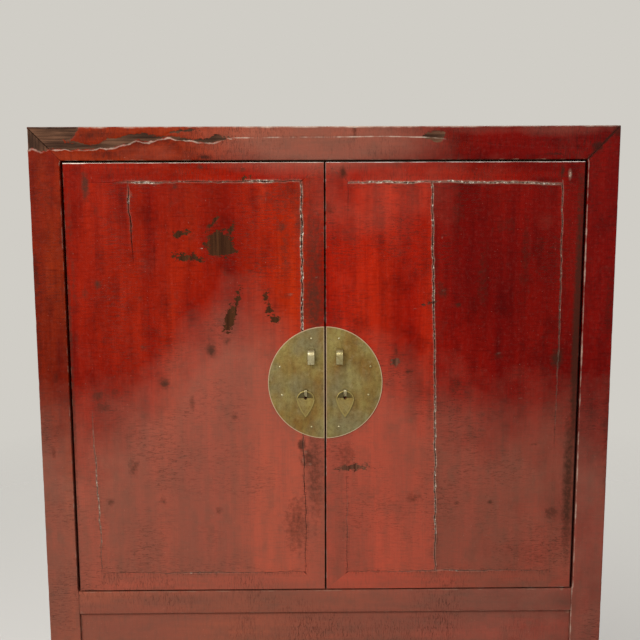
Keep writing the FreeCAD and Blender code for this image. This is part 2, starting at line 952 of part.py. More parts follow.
def save_frame():
    for side, is_right in (("left", False), ("right", True)):
        for place, is_front in (("front", True), ("rear", False)):
            save(f"{place}_{side}_post", [post(is_right, is_front)])
    save("top_front_rail", [top_long_rail(True)])
    save("top_rear_rail", [top_long_rail(False)])
    save("top_boards", top_boards())
    save("top_batten", [top_batten(0)])
    sill = long_rail(True, sill_bottom_z, sill_top_z, lid_thickness)
    save("door_sill_rail", [sill.cut(both_sides([lower_socket()]))])
    save("rear_middle_rail", [long_rail(False, sill_bottom_z, sill_top_z, lid_thickness)])
    save("front_bottom_rail", [long_rail(True, bottom_rail_z, bottom_rail_top_z, floor_thickness)])
    save("rear_bottom_rail", [long_rail(False, bottom_rail_z, bottom_rail_top_z, floor_thickness)])
    save("compartment_front_board", [front_board(board_bite)])
    save("back_upper_boards", back_boards(sill_top_z, opening_top_z))
    save("back_lower_boards", back_boards(bottom_rail_top_z, sill_bottom_z))
    save("door_stop_strips", stop_strips())
    save("compartment_floor_boards", floor_planks())
    save("front_apron", [front_apron()])
    save("front_apron_brackets", front_spandrels())


def save_shelf():
    front, rear, side = shelf_rails()
    save("shelf_front_rail", [front])
    save("shelf_rear_rail", [rear])
    save("shelf_side_rails", both_sides([side]))
    save("shelf_boards", shelf_planks())


def save_side(side, flip):
    save(f"top_{side}_rail", [flip(top_side_rail())])
    save(f"{side}_middle_rail", [flip(side_rail(sill_bottom_z, sill_top_z))])
    save(f"{side}_bottom_rail", [flip(side_rail(bottom_rail_z, bottom_rail_top_z))])
    save(f"{side}_upper_boards", [flip(b) for b in side_boards(sill_top_z, opening_top_z)])
    save(f"{side}_lower_boards", [flip(b) for b in side_boards(bottom_rail_top_z, sill_bottom_z)])
    save(f"{side}_apron", [flip(s) for s in side_apron()])
    save(f"{side}_compartment_lid", [flip(lid())])


def save_door(side, flip, joint_x):
    save(f"{side}_hinge_stile", [flip(hinge_stile())])
    save(f"{side}_meeting_stile", [flip(meeting_stile())])
    save(f"{side}_door_top_rail", [flip(door_rail(True))])
    save(f"{side}_door_bottom_rail", [flip(door_rail(False))])
    save(f"{side}_door_boards", [flip(b) for b in door_boards(joint_x)])
    save(f"{side}_door_battens", [flip(b) for b in door_battens(0)])
    save(f"{side}_lock_plate", [flip(lock_plate())])
    save(f"{side}_plate_nails", [flip(n) for n in plate_nails()])
    save(f"{side}_lock_staple", [flip(lock_staple())])
    save(f"{side}_pull_cotter", [flip(pull_cotter())])
    save(f"{side}_leaf_pull", [flip(leaf_pull())])


os.makedirs("parts", exist_ok=True)
save_frame()
save_shelf()
for side_name, side_flip, board_joint in (
    ("left", mirror_x, left_board_joint),
    ("right", lambda shape: shape, right_board_joint),
):
    save_side(side_name, side_flip)
    save_door(side_name, side_flip, board_joint)
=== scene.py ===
import itertools
import json
import math

import bmesh
import bpy
import numpy as np
from mathutils import Matrix, Vector

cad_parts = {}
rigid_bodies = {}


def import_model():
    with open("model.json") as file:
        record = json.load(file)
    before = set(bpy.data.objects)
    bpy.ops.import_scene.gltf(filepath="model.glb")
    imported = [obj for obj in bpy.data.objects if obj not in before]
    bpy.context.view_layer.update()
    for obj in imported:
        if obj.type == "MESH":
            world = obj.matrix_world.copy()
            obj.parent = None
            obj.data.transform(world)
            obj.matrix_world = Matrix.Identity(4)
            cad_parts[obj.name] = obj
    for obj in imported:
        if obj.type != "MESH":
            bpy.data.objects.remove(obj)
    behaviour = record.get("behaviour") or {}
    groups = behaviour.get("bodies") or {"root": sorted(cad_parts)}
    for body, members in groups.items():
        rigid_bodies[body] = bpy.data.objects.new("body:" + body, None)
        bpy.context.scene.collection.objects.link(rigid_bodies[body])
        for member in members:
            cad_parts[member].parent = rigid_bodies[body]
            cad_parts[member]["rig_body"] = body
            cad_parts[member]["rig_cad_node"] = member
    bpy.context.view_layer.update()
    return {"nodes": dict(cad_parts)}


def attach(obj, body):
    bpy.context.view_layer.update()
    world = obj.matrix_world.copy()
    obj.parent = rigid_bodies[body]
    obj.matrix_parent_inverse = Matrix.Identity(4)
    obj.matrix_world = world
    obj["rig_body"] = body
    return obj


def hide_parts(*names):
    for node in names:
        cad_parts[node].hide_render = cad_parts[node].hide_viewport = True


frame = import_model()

# Two-door cabinet of lacquered elm with a round brass lock plate.
# Places are in millimetres in the dictionaries and turned to metres where a mesh is made.
mm = 0.001
print("frame loaded:", len(frame["nodes"]), "nodes")

cabinet = {
    "halfWidth": 550.0,
    "frontY": -262.75,
    "backY": 277.25,
    "top": 1460.0,
    "postInner": 490.0,
    "postDepth": 56.0,
    "railLow": 1398.0,        # underside of the top rails
}
halfWidth, frontY, backY, topZ, postInner, postDepth, railLow = cabinet.values()
postBack, rearFront = frontY + postDepth, backY - postDepth
signs = {"left": -1, "right": 1}


def selectNothing():
    bpy.ops.object.select_all(action="DESELECT")


def selectOnly(piece):
    selectNothing()
    piece.select_set(True)
    bpy.context.view_layer.objects.active = piece


def newPiece(name):
    # the object that was just added, with its mesh in the shared frame
    piece = bpy.context.object
    piece.name = name
    bpy.ops.object.transform_apply(location=True, rotation=True, scale=True)
    return piece


def editAll():
    bpy.ops.object.mode_set(mode="EDIT")
    bpy.ops.mesh.select_all(action="SELECT")


def leaveEdit():
    bpy.ops.object.mode_set(mode="OBJECT")


def selectEdges(piece, wanted):
    bpy.ops.mesh.select_mode(type="EDGE")
    bpy.ops.mesh.select_all(action="DESELECT")
    data = bmesh.from_edit_mesh(piece.data)
    for edge in data.edges:
        edge.select = bool(wanted(edge))
    data.select_flush_mode()
    bmesh.update_edit_mesh(piece.data)


def turnOutwards():
    bpy.ops.mesh.select_all(action="SELECT")
    bpy.ops.mesh.normals_make_consistent(inside=False)


def applyModifier(piece, kind, **settings):
    bpy.ops.object.modifier_add(type=kind)
    modifier = piece.modifiers[-1]
    for name, value in settings.items():
        setattr(modifier, name, value)
    bpy.ops.object.modifier_apply(modifier=modifier.name)


def readValues(items, key, width):
    values = np.empty(len(items) * width, np.float32)
    items.foreach_get(key, values)
    return values.reshape(-1, width)


def readPoints(piece):
    return readValues(piece.data.vertices, "co", 3).astype(float) / mm


def writePoints(piece, points):
    piece.data.vertices.foreach_set("co", (points * mm).astype(np.float32).ravel())
    piece.data.update()


def paint(piece, name, values):
    layer = piece.data.attributes.get(name) or piece.data.attributes.new(name, "FLOAT", "POINT")
    layer.data.foreach_set("value", np.clip(values, 0, 1).astype(np.float32))


# Smooth noise in code, for shapes. The lattice is seeded, so each run gives the same.
noise = {"seed": 11, "cells": 32, "start": 200.37}
lattice = np.random.default_rng(noise["seed"]).random((noise["cells"],) * 3)


def drift(points, pitch, shift=0.0):
    # -1 to 1, changes over pitch millimetres (one number, or one for each axis)
    spot = points / np.array(pitch, float) + noise["start"] + shift
    cell = np.floor(spot).astype(int)
    part = spot - cell
    part = part * part * (3 - 2 * part)
    total = np.zeros(len(points))
    for corner in itertools.product((0, 1), repeat=3):
        share = np.where(np.array(corner), part, 1 - part).prod(axis=1)
        i, j, k = ((cell + np.array(corner)) % noise["cells"]).T
        total += share * lattice[i, j, k]
    return total * 2 - 1


def waves(points, rows):
    # several drifts laid over each other: height, pitch and shift of each
    return sum(height * drift(points, pitch, shift) for height, pitch, shift in rows)


def bell(away, reach):
    return np.exp(-((away / reach) ** 2))


def fade(away, reach, start=1):
    # falls from 1 to 0 with distance
    return np.clip(start - away / reach, 0, 1)


def alongLine(x, z, line):
    # distance in mm to an open line
    near = np.full(len(x), 1e9)
    for (x0, z0), (x1, z1) in zip(line, line[1:]):
        dx, dz = x1 - x0, z1 - z0
        t = np.clip(((x - x0) * dx + (z - z0) * dz) / (dx * dx + dz * dz), 0, 1)
        near = np.minimum(near, np.hypot(x - x0 - t * dx, z - z0 - t * dz))
    return near


def insideOutline(x, z, outline):
    # signed distance in mm, above 0 inside
    loop = outline + outline[:1]
    inside = np.zeros(len(x), bool)
    for (x0, z0), (x1, z1) in zip(loop, loop[1:]):
        if z0 != z1:
            inside ^= ((z0 > z) != (z1 > z)) & (x < (z - z0) * (x1 - x0) / (z1 - z0) + x0)
    near = alongLine(x, z, loop)
    return np.where(inside, near, -near)


def wornDepth(x, z, marks):
    # signed distance in mm to the nearest worn mark, above 0 inside
    best = np.full(len(x), -1e9)
    for midX, midZ, halfX, halfZ, turn in marks:
        cosine, sine = math.cos(math.radians(turn)), math.sin(math.radians(turn))
        u = ((x - midX) * cosine + (z - midZ) * sine) / halfX
        v = ((z - midZ) * cosine - (x - midX) * sine) / halfZ
        best = np.maximum(best, (1 - np.hypot(u, v)) * min(halfX, halfZ))
    return best


def markDepth(x, z, marks, edge=1.3):
    # 0 to 1: the strongest of some soft oval marks, each with its middle, half widths and strength
    total = np.zeros(len(x))
    for midX, midZ, halfX, halfZ, strength in marks:
        reach = np.hypot((x - midX) / halfX, (z - midZ) / halfZ)
        total = np.maximum(total, strength * fade(reach, 1, edge))
    return total


# Painted sheen on the lacquer: a hazy reflection painted all over below a wandering line (x, height), and
# painted pools of reflected light in soft patches above it
paintedSheen = {
    "line": (
        (-550, 870), (-465, 850), (-385, 905), (-190, 1085), (-60, 1040), (100, 1000), (300, 905), (550, 890),
    ),
    "wander": ((40, (110, 110, 210), 7.7),),
    "soften": 240,
    "side": ((10, 120), (1, 3.2)),        # the line is softer on the sides than on the front
    "right": ((150, 500), (1, 0.72)),     # and the painted sheen fainter at the right
    "patches": (
        (-10, 1440, 190, 60, 1.0), (80, 1350, 150, 100, 0.3), (330, 1458, 300, 14, 0.3),
        (-300, 1412, 150, 18, 0.15),
    ),
    "patchEdge": 1.5,
    "doorFace": 12,    # the backs of the doors take an even share of the painted sheen, from so far behind the front
    "doorBack": 0.5,
}
frameSideShade = {"from": -150, "run": 450}    # painted shade: the frame darkens from left to right, as the light falls from the left


def paintedSheenDepth(points):
    x, z = points[:, 0], points[:, 2]
    line = np.interp(x, *np.array(paintedSheen["line"], float).T) + waves(points, paintedSheen["wander"])
    soften = paintedSheen["soften"] * np.interp(points[:, 1] - frontY, *paintedSheen["side"])
    depth = np.clip((line - z) / soften + 0.5, 0, 1) * np.interp(x, *paintedSheen["right"])
    return np.maximum(depth, markDepth(x, z, paintedSheen["patches"], paintedSheen["patchEdge"]))


finished = []    # piece, the finish it takes and the way its grain runs


def finishPiece(piece, node, body, finish, grain, angle=38):
    if angle:
        selectOnly(piece)
        bpy.ops.object.shade_smooth_by_angle(angle=math.radians(angle))
    points = readPoints(piece)
    if finish == "frame":
        paint(piece, "paintedSheen", paintedSheenDepth(points))
        paint(piece, "tone", (points[:, 0] - frameSideShade["from"]) / frameSideShade["run"])
    elif finish.endswith("Door"):
        isBack = points[:, 1] > frontY + paintedSheen["doorFace"]
        paint(piece, "paintedSheen", np.where(isBack, paintedSheen["doorBack"], paintedSheenDepth(points)))
    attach(piece, body)
    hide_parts(node)
    finished.append((piece, finish, grain))


# The joints that show through the lacquer. Each lies at a true joint line of the frame, along x (0) or z (2).
# dark is how black the crack is between its lips, and spread how far the flaking reaches. The points are
# (place along it, where the crack is, how wide it gapes, how much gesso has flaked).
seams = {
    "leftTop": {"along": 0, "at": 1358.0, "dark": 0.75, "spread": 7, "points": (
        (-444, 1357.8, 0, 0), (-425, 1357.2, 0, 0.15), (-400, 1357.4, 0.3, 0.35), (-350, 1357.9, 0.9, 0.95),
        (-325, 1357.8, 1.3, 1), (-300, 1358.1, 0.7, 0.7), (-230, 1358.4, 0.7, 0.66),
        (-165, 1358.8, 1.0, 0.72), (-140, 1359.6, 1.8, 1), (-100, 1359.3, 2.0, 1), (-85, 1358.9, 0.9, 0.7),
        (-44.5, 1359, 1.2, 0.8),
    )},
    "leftMeeting": {"along": 2, "at": -44.5, "dark": 0.9, "spread": 6, "points": (
        (590, -40, 0.4, 0.3), (698, -38.6, 0.9, 0.45), (780, -41, 1.2, 0.5), (860, -43.2, 1.2, 0.6),
        (900, -43.6, 1.0, 0.6), (1060, -43.7, 1.8, 0.9), (1120, -43.7, 2.0, 0.95), (1174, -43.8, 1.8, 0.9),
        (1250, -44, 2.0, 1), (1320, -44.3, 1.8, 0.9), (1345, -44.3, 1.3, 0.9), (1358, -44.5, 1.0, 0.8),
    )},
    "leftHinge": {"along": 2, "at": -444.0, "dark": 0.1, "spread": 4, "points": (
        (590, -443, 0.4, 0.5), (660, -442, 0.7, 0.8), (700, -443, 0.8, 0.9), (782, -445.5, 0.7, 0.9),
        (830, -447, 0.6, 0.8), (875, -449, 0.4, 0.72), (915, -449, 0.2, 0.55), (945, -448, 0, 0),
        (1358, -444, 0, 0),
    )},
    "leftLow": {"along": 0, "at": 590.0, "dark": 0.5, "spread": 6, "points": (
        (-444, 590.5, 0.3, 0.3), (-250, 589.6, 0.9, 0.7), (-44.5, 590.2, 0.5, 0.4),
    )},
    "leftBoards": {"along": 2, "at": -363.0, "dark": 0.85, "spread": 6, "points": (
        (590, -363, 0, 0), (1205, -361.5, 0, 0), (1228, -361, 1.0, 0.4), (1262, -364.5, 1.8, 0.56),
        (1290, -364.6, 2.0, 0.6), (1322, -368, 2.2, 0.75), (1344, -366.7, 1.2, 0.75),
        (1358, -366.7, 0.3, 0.5),
    )},
    "rightTop": {"along": 0, "at": 1358.0, "dark": 0.45, "spread": 6, "points": (
        (44.5, 1356.3, 0.5, 0.85), (90, 1356.8, 0.7, 0.95), (130, 1357.6, 0.8, 1), (150, 1356.6, 0.9, 1),
        (200, 1357.6, 0.5, 0.85), (262, 1356.2, 0.8, 1), (300, 1356.2, 0.7, 0.95), (352, 1355.2, 0.9, 1),
        (400, 1353.8, 0.7, 1), (444, 1352.2, 0.4, 0.8),
    )},
    "rightMeeting": {"along": 2, "at": 44.5, "dark": 0.6, "spread": 5, "points": (
        (590, 42.5, 0.3, 0.3), (677, 42, 0.5, 0.5), (740, 42, 0.5, 0.55), (799, 42.4, 0.3, 0.35),
        (830, 43, 0, 0), (1280, 44, 0, 0), (1310, 43.6, 0.2, 0.25), (1358, 43.2, 0.4, 0.35),
    )},
    "rightHinge": {"along": 2, "at": 444.0, "dark": 0.5, "spread": 3.5, "points": (
        (590, 445, 0.1, 0.1), (840, 446, 0.1, 0.1), (877, 446, 0.4, 0.5), (990, 447, 0.6, 0.6),
        (1075, 448, 1.0, 0.72), (1180, 447, 1.2, 0.76), (1290, 445.6, 1.2, 0.82), (1358, 444, 1.0, 0.82),
    )},
    "rightLow": {"along": 0, "at": 590.0, "dark": 0.5, "spread": 6, "points": (
        (44.5, 590, 0.4, 0.4), (260, 590.8, 1.0, 0.7), (444, 589.6, 0.5, 0.4),
    )},
    "rightBoards": {"along": 2, "at": 208.0, "dark": 0.85, "spread": 5.5, "points": (
        (590, 216.6, 0.9, 0.7), (655, 216, 1.3, 0.8), (760, 214.4, 1.4, 0.9), (850, 213.2, 1.6, 0.88),
        (939, 212, 1.6, 0.9), (1040, 209.4, 1.5, 0.8), (1134, 206, 1.8, 0.84), (1240, 203, 1.8, 0.86),
        (1310, 201, 1.6, 0.82), (1358, 200, 1.3, 0.85),
    )},
}

# Where the lacquer has worn through to brown wood: middle x, z, half widths, turn in degrees
worn = {
    "leftDoor": (
        (-197, 1240, 26, 20, 12), (-188, 1228, 20, 10, 0), (-207, 1256, 20, 8, 35), (-178, 1266, 13, 5, 60),
        (-212, 1280, 16, 3.4, 52), (-271, 1262, 16, 6, 8), (-266, 1218, 20, 7.5, -6),
        (-243, 1216, 14, 5, -22), (-181, 1100, 10, 27, -16), (-166, 1136, 4, 20, -14),
        (-106, 1117, 6, 12, -10), (-94, 1098, 8, 7, 0), (-114, 1142, 3, 10, -8), (-150, 1365, 7, 3, 4),
    ),
    "rightDoor": ((55, 805, 29, 6.5, 3), (134, 1014, 8, 9, 30), (198, 1128, 9, 2.6, 10)),
}

# Small pale chips and scratches: middle x, z, half widths, strength
flecks = {
    "leftDoor": (
        (-232, 1234, 5, 2.5, 0.8), (-110, 1326, 2.5, 9, 0.66), (-15, 1300, 5, 2.5, 0.6),
        (-17, 1178, 6, 3, 0.66), (-67, 1146, 10, 4.5, 0.64), (-69, 1326, 8, 2.5, 0.58),
        (-125, 1387, 2.5, 7, 0.64), (-350, 1046, 3, 3, 0.6), (-42, 836, 8, 6, 0.7), (-46, 820, 5, 10, 0.7),
        (-33, 812, 7, 5, 0.62), (-362, 1336, 9, 14, 0.6),
    ),
    "rightDoor": (
        (458, 1370, 5, 15, 0.88), (224, 1253, 3, 4, 0.66), (332, 1030, 10, 3.5, 0.6), (377, 942, 9, 2.5, 0.6),
        (415, 941, 5, 2.5, 0.58), (208, 790, 5, 5, 0.75), (172, 1118, 7, 2.5, 0.6), (226, 1152, 8, 3, 0.58),
        (56, 822, 3, 14, 0.58),
    ),
}

# Soft dark marks in the lacquer: middle x, z, half widths, strength. Most are stains; the long narrow ones
# darken the lacquer along the door edges, beside the gaps and at the outer edges of the posts
stains = {
    "leftDoor": (
        (-21, 1130, 24, 90, 0.75), (-22, 1210, 22, 130, 0.55), (-75, 1330, 60, 40, 0.3),
        (-446, 1352, 8, 32, 0.85), (-429, 1167, 8, 11, 0.75), (-152, 1380, 8, 5, 0.6),
        (-478, 1300, 7, 60, 0.4), (-475, 1180, 6, 80, 0.35), (-81, 1273, 10, 10, 0.65),
        (-70, 1143, 16, 7, 0.35), (-218, 1039, 10, 14, 0.85), (-309, 975, 12, 14, 0.75),
        (-434, 950, 15, 12, 0.6), (-404, 958, 9, 8, 0.55), (-425, 927, 16, 14, 0.5), (-349, 1046, 8, 8, 0.5),
        (-351, 1140, 7, 8, 0.45), (-256, 936, 6, 18, 0.55), (-175, 908, 9, 9, 0.5), (-187, 1056, 9, 9, 0.6),
        (-420, 737, 11, 9, 0.6), (-373, 807, 14, 22, 0.5), (-208, 718, 10, 10, 0.5), (-317, 739, 9, 9, 0.5),
        (-452, 1149, 9, 14, 0.45), (-280, 1350, 7, 5, 0.6), (-232, 1386, 9, 5, 0.7), (-191, 1192, 8, 12, 0.4),
        (-60, 690, 24, 70, 0.5), (-21, 800, 22, 130, 0.55), (-484, 1000, 4, 380, 0.5), (-46, 850, 9, 14, 0.9),
        (-34, 824, 20, 26, 0.7), (-50, 1300, 14, 60, 0.35), (-75, 1240, 8, 80, 0.35),
    ),
    "rightDoor": (
        (442, 1019, 13, 22, 0.85), (480, 1080, 9, 330, 0.95), (475, 760, 14, 170, 0.75),
        (252, 967, 14, 20, 0.5), (159, 995, 11, 5, 0.6), (134, 1014, 22, 16, 0.35), (442, 709, 16, 14, 0.55),
        (323, 732, 7, 6, 0.6), (258, 731, 7, 6, 0.5), (172, 741, 18, 14, 0.45), (5, 1306, 16, 14, 0.5),
        (220, 1164, 9, 10, 0.5), (254, 1124, 6, 6, 0.7), (406, 849, 9, 3, 0.5), (34, 1375, 9, 13, 0.75),
        (444, 1376, 5, 14, 0.8), (300, 1180, 14, 90, 0.35), (380, 1220, 10, 110, 0.35),
        (250, 1300, 16, 50, 0.3), (331, 1024, 14, 8, 0.4), (136, 1036, 5, 16, 0.5), (40, 830, 22, 30, 0.4),
        (226, 1148, 12, 12, 0.6), (340, 1275, 26, 20, 0.35),
    ),
    "frame": (
        (56, 1452, 5, 16, 0.6), (205, 1444, 22, 9, 0.7), (508, 1421, 13, 11, 0.95), (-516, 987, 8, 18, 0.45),
        (-527, 839, 7, 16, 0.45), (-222, 1404, 16, 5, 0.85), (-546, 1180, 8, 60, 0.5),
        (-340, 1434, 60, 14, 0.5), (540, 1120, 10, 110, 0.4), (-495, 1200, 6, 260, 0.35),
        (429, 1408, 28, 3, 0.6), (-520, 1340, 30, 40, 0.3), (543, 1450, 8, 14, 0.7),
        (-425, 1446, 40, 12, 0.5), (-300, 1432, 40, 10, 0.4), (-400, 1410, 34, 9, 0.35),
        (-545, 1050, 7, 120, 0.4), (545, 900, 7, 160, 0.35),
    ),
}

# Outline of the worn corner of the top rail. The lacquer stands up as a pale lip along its lower edge.
wornCorner = (
    (-575, 1478), (-452, 1478), (-456, 1458), (-464, 1443), (-477, 1434), (-484, 1437), (-470, 1431),
    (-440, 1428), (-425, 1427), (-405, 1435), (-381, 1443), (-351, 1446), (-334, 1451), (-322, 1443),
    (-300, 1445), (-270, 1454), (-238, 1456), (-222, 1450), (-240, 1453), (-268, 1450), (-291, 1444),
    (-262, 1439), (-225, 1437), (-203, 1445), (-178, 1444), (-173, 1439), (-196, 1434), (-215, 1431),
    (-242, 1433), (-267, 1435), (-292, 1440), (-311, 1437), (-326, 1431), (-346, 1436), (-366, 1430),
    (-386, 1421), (-415, 1421), (-445, 1418), (-482, 1418), (-509, 1420), (-524, 1415), (-539, 1420),
    (-575, 1411),
)
wornLip = wornCorner[:24:-1]

# The chip further along, and the hairline where the lacquer has split along the grain
wornScuff = (
    (183, 1440), (188, 1447), (200, 1450), (214, 1451), (224, 1447), (225, 1439), (218, 1433), (207, 1430),
    (197, 1433), (188, 1431),
)
railSplit = (
    (-173, 1439), (-60, 1440), (10, 1440), (110, 1441), (195, 1439), (260, 1432), (326, 1425), (493, 1420),
)

# How far from an arris, and how far across a worn edge, the painted marks run from 0 to 1, in mm
markRun = {"arris": 10, "bare": 24}

# Door members: a sheet of grid over the face, with its border drawn back to give the thickness.
# The lacquered crust gapes and wanders along a joint, and the wood behind it keeps to the true line.
crust = {
    "depth": 3.0,
    "step": 0.5,
    "reach": 22.0,       # how far from a joint the crust is drawn along with the crack
    "opening": 7.0,
    "play": 0.06,
    "atLine": 0.05,      # nearer than this is on the line
    "ends": 4,
    "aside": 40.0,       # the noise is read this far apart on the two sides of a crack
    "wavering": ((1.5, 19, 1.9), (0.9, 6.5, 5.3)),
    "ragged": ((0.45, 6, 0), (0.6, 16, 3.7)),
    "lips": {"at": 1.3, "reach": 2.3, "height": 0.85, "across": 5.0, "along": 13.0},
    "dip": {"reach": 0.7, "depth": 0.45},
    "thinFlaking": {"share": 0.28, "reach": 26},
    # rings behind the face: from and to, and how far an arris pushes them back (share of its radius, mm)
    "rings": ((0.01, 1.5, 1.35, 0), (1.5, 3.1, 0.75, 0), (3.1, 3.6, 0.75, 0.6)),
}
edgeSteps = (0, 0.35, 0.8, 1.4, 2.1, 3.0, 4.2, 5.6, 7.5, 10)
doorFit = {
    "inner": 1.5, "outer": 487.2, "low": 554.0, "high": 1394.0, "rail": 36.0,
    "meetingJoint": 44.5, "hingeJoint": 444.0, "leftBoardsAt": 363.0, "rightBoardsAt": 208.0,
    "thick": 28.0, "board": 16.0, "cell": 2.6, "boardCell": 3.0,
    "pivot": (474.0, -250.75), "pinRadius": 8.0, "pinEase": 1.2, "pins": ((537, 557), (1391, 1424)),
}
doorWear = {
    "arris": 1.7, "pivotArris": 2.6, "unevenArris": (0.28, 34, 2.2),
    "swell": ((0.24, (95, 60, 420), 0), (0.1, (34, 40, 160), 4.4)),
    "wornDip": 0.2,
    "mitreLine": {"flaking": 6, "depth": 0.4, "reach": 1.2},
    "cotterHole": {"x": 38.0, "z": 945.6, "flat": 0.8, "reach": 3.6, "depth": 12, "dark": (4, 2)},
    "mitres": {"leftDoor": (0.3, ((-2, 1394), (-44.5, 1358))), "rightDoor": (0.4, ((4, 1391), (44.5, 1356)))},
    # a pale line on the open arrises: full on the top arris, and on the sides a share that grows near the
    # top. It is partly a rubbed edge and partly a painted highlight where the light from above falls
    "rimShare": 0.2, "upperRimHighlight": (1340, 50, 1.5),
    # the colour darkens towards the hinges: from where, and over how far. On the right door this is painted
    # shade, as the light falls from the left
    "toneRun": {"leftDoor": (120, 260), "rightDoor": (170, 230)},
    # painted shade and grime on the face beside the post, and on the sides of every gap, fading inwards
    "postShadeAndGrime": {"leftDoor": 0.3, "rightDoor": 0.9},
    "besidePost": (2.4, 1.25),
    "gapShadeAndGrime": 0.75,
    "inwards": (20, 1.3),
    "backTone": 0.7,
}


def edgeLines(length, pitch):
    near = [s for s in edgeSteps if s < length / 2 - 1]
    far = [length - s for s in reversed(near)]
    start, end = near[-1], far[0]
    count = max(2, math.ceil((end - start) / pitch))
    middle = [start + (end - start) * i / count for i in range(1, count)]
    return np.array(near + middle + far) / length


def seamReach(seam, points, side):
    # the crack's drift, gape and flaking at these points, and their distance from the joint
    along, across = seam["along"], 2 - seam["along"]
    s = points[:, along]
    place, middle, gape, flake = np.array(seam["points"], float).T
    inSpan = bell(np.maximum(np.maximum(place[0] - s, s - place[-1]), 0), crust["ends"])
    line = np.zeros_like(points)
    line[:, along] = s
    wavering = waves(line, crust["wavering"])
    line[:, across] = side * crust["aside"]
    gape = np.interp(s, place, gape) * (1 + 0.75 * waves(line, crust["ragged"]))
    wander = np.interp(s, place, middle) - seam["at"] + wavering * np.minimum(1, gape * 2)
    near = np.abs(points[:, across] - seam["at"])
    return wander * inSpan, np.maximum(gape, 0) * inSpan, np.interp(s, place, flake) * inSpan, near


def doorSheet(name, corners, width, height, depth, pitch):
    # the closed sheet, and the share of each point across and up it
    across, up = edgeLines(width, pitch), edgeLines(height, pitch)
    selectNothing()
    bpy.ops.mesh.primitive_grid_add(
        x_subdivisions=len(across) - 1,
        y_subdivisions=len(up) - 1,
        size=1,
        location=(0, 0, 0),
        rotation=(math.radians(90), 0, 0),
    )
    piece = newPiece(name)
    fresh = readPoints(piece) * mm
    u = across[np.rint((fresh[:, 0] + 0.5) * (len(across) - 1)).astype(int)]
    v = up[np.rint((fresh[:, 2] + 0.5) * (len(up) - 1)).astype(int)]
    shares = ((1 - u) * (1 - v), u * (1 - v), u * v, (1 - u) * v)
    flat = sum(np.outer(share, corner) for share, corner in zip(shares, corners))
    writePoints(piece, np.column_stack([flat[:, 0], np.full(len(flat), frontY), flat[:, 1]]))
    for key, values in (("acrossShare", u), ("upShare", v)):
        paint(piece, key, values)
    bpy.ops.object.mode_set(mode="EDIT")
    bpy.ops.mesh.select_mode(type="EDGE")
    bpy.ops.mesh.select_all(action="DESELECT")
    bpy.ops.mesh.select_non_manifold()
    for back in (1.0, crust["depth"] - 1.0, crust["step"], depth - crust["depth"] - crust["step"]):
        bpy.ops.mesh.extrude_edges_move(TRANSFORM_OT_translate={"value": (0, back * mm, 0)})
    bpy.ops.mesh.edge_face_add()
    turnOutwards()
    leaveEdit()
    shares = []
    for key in ("acrossShare", "upShare"):
        shares.append(readValues(piece.data.attributes[key].data, "value", 1)[:, 0].astype(float))
        piece.data.attributes.remove(piece.data.attributes[key])
    return piece, flat.mean(axis=0), *shares


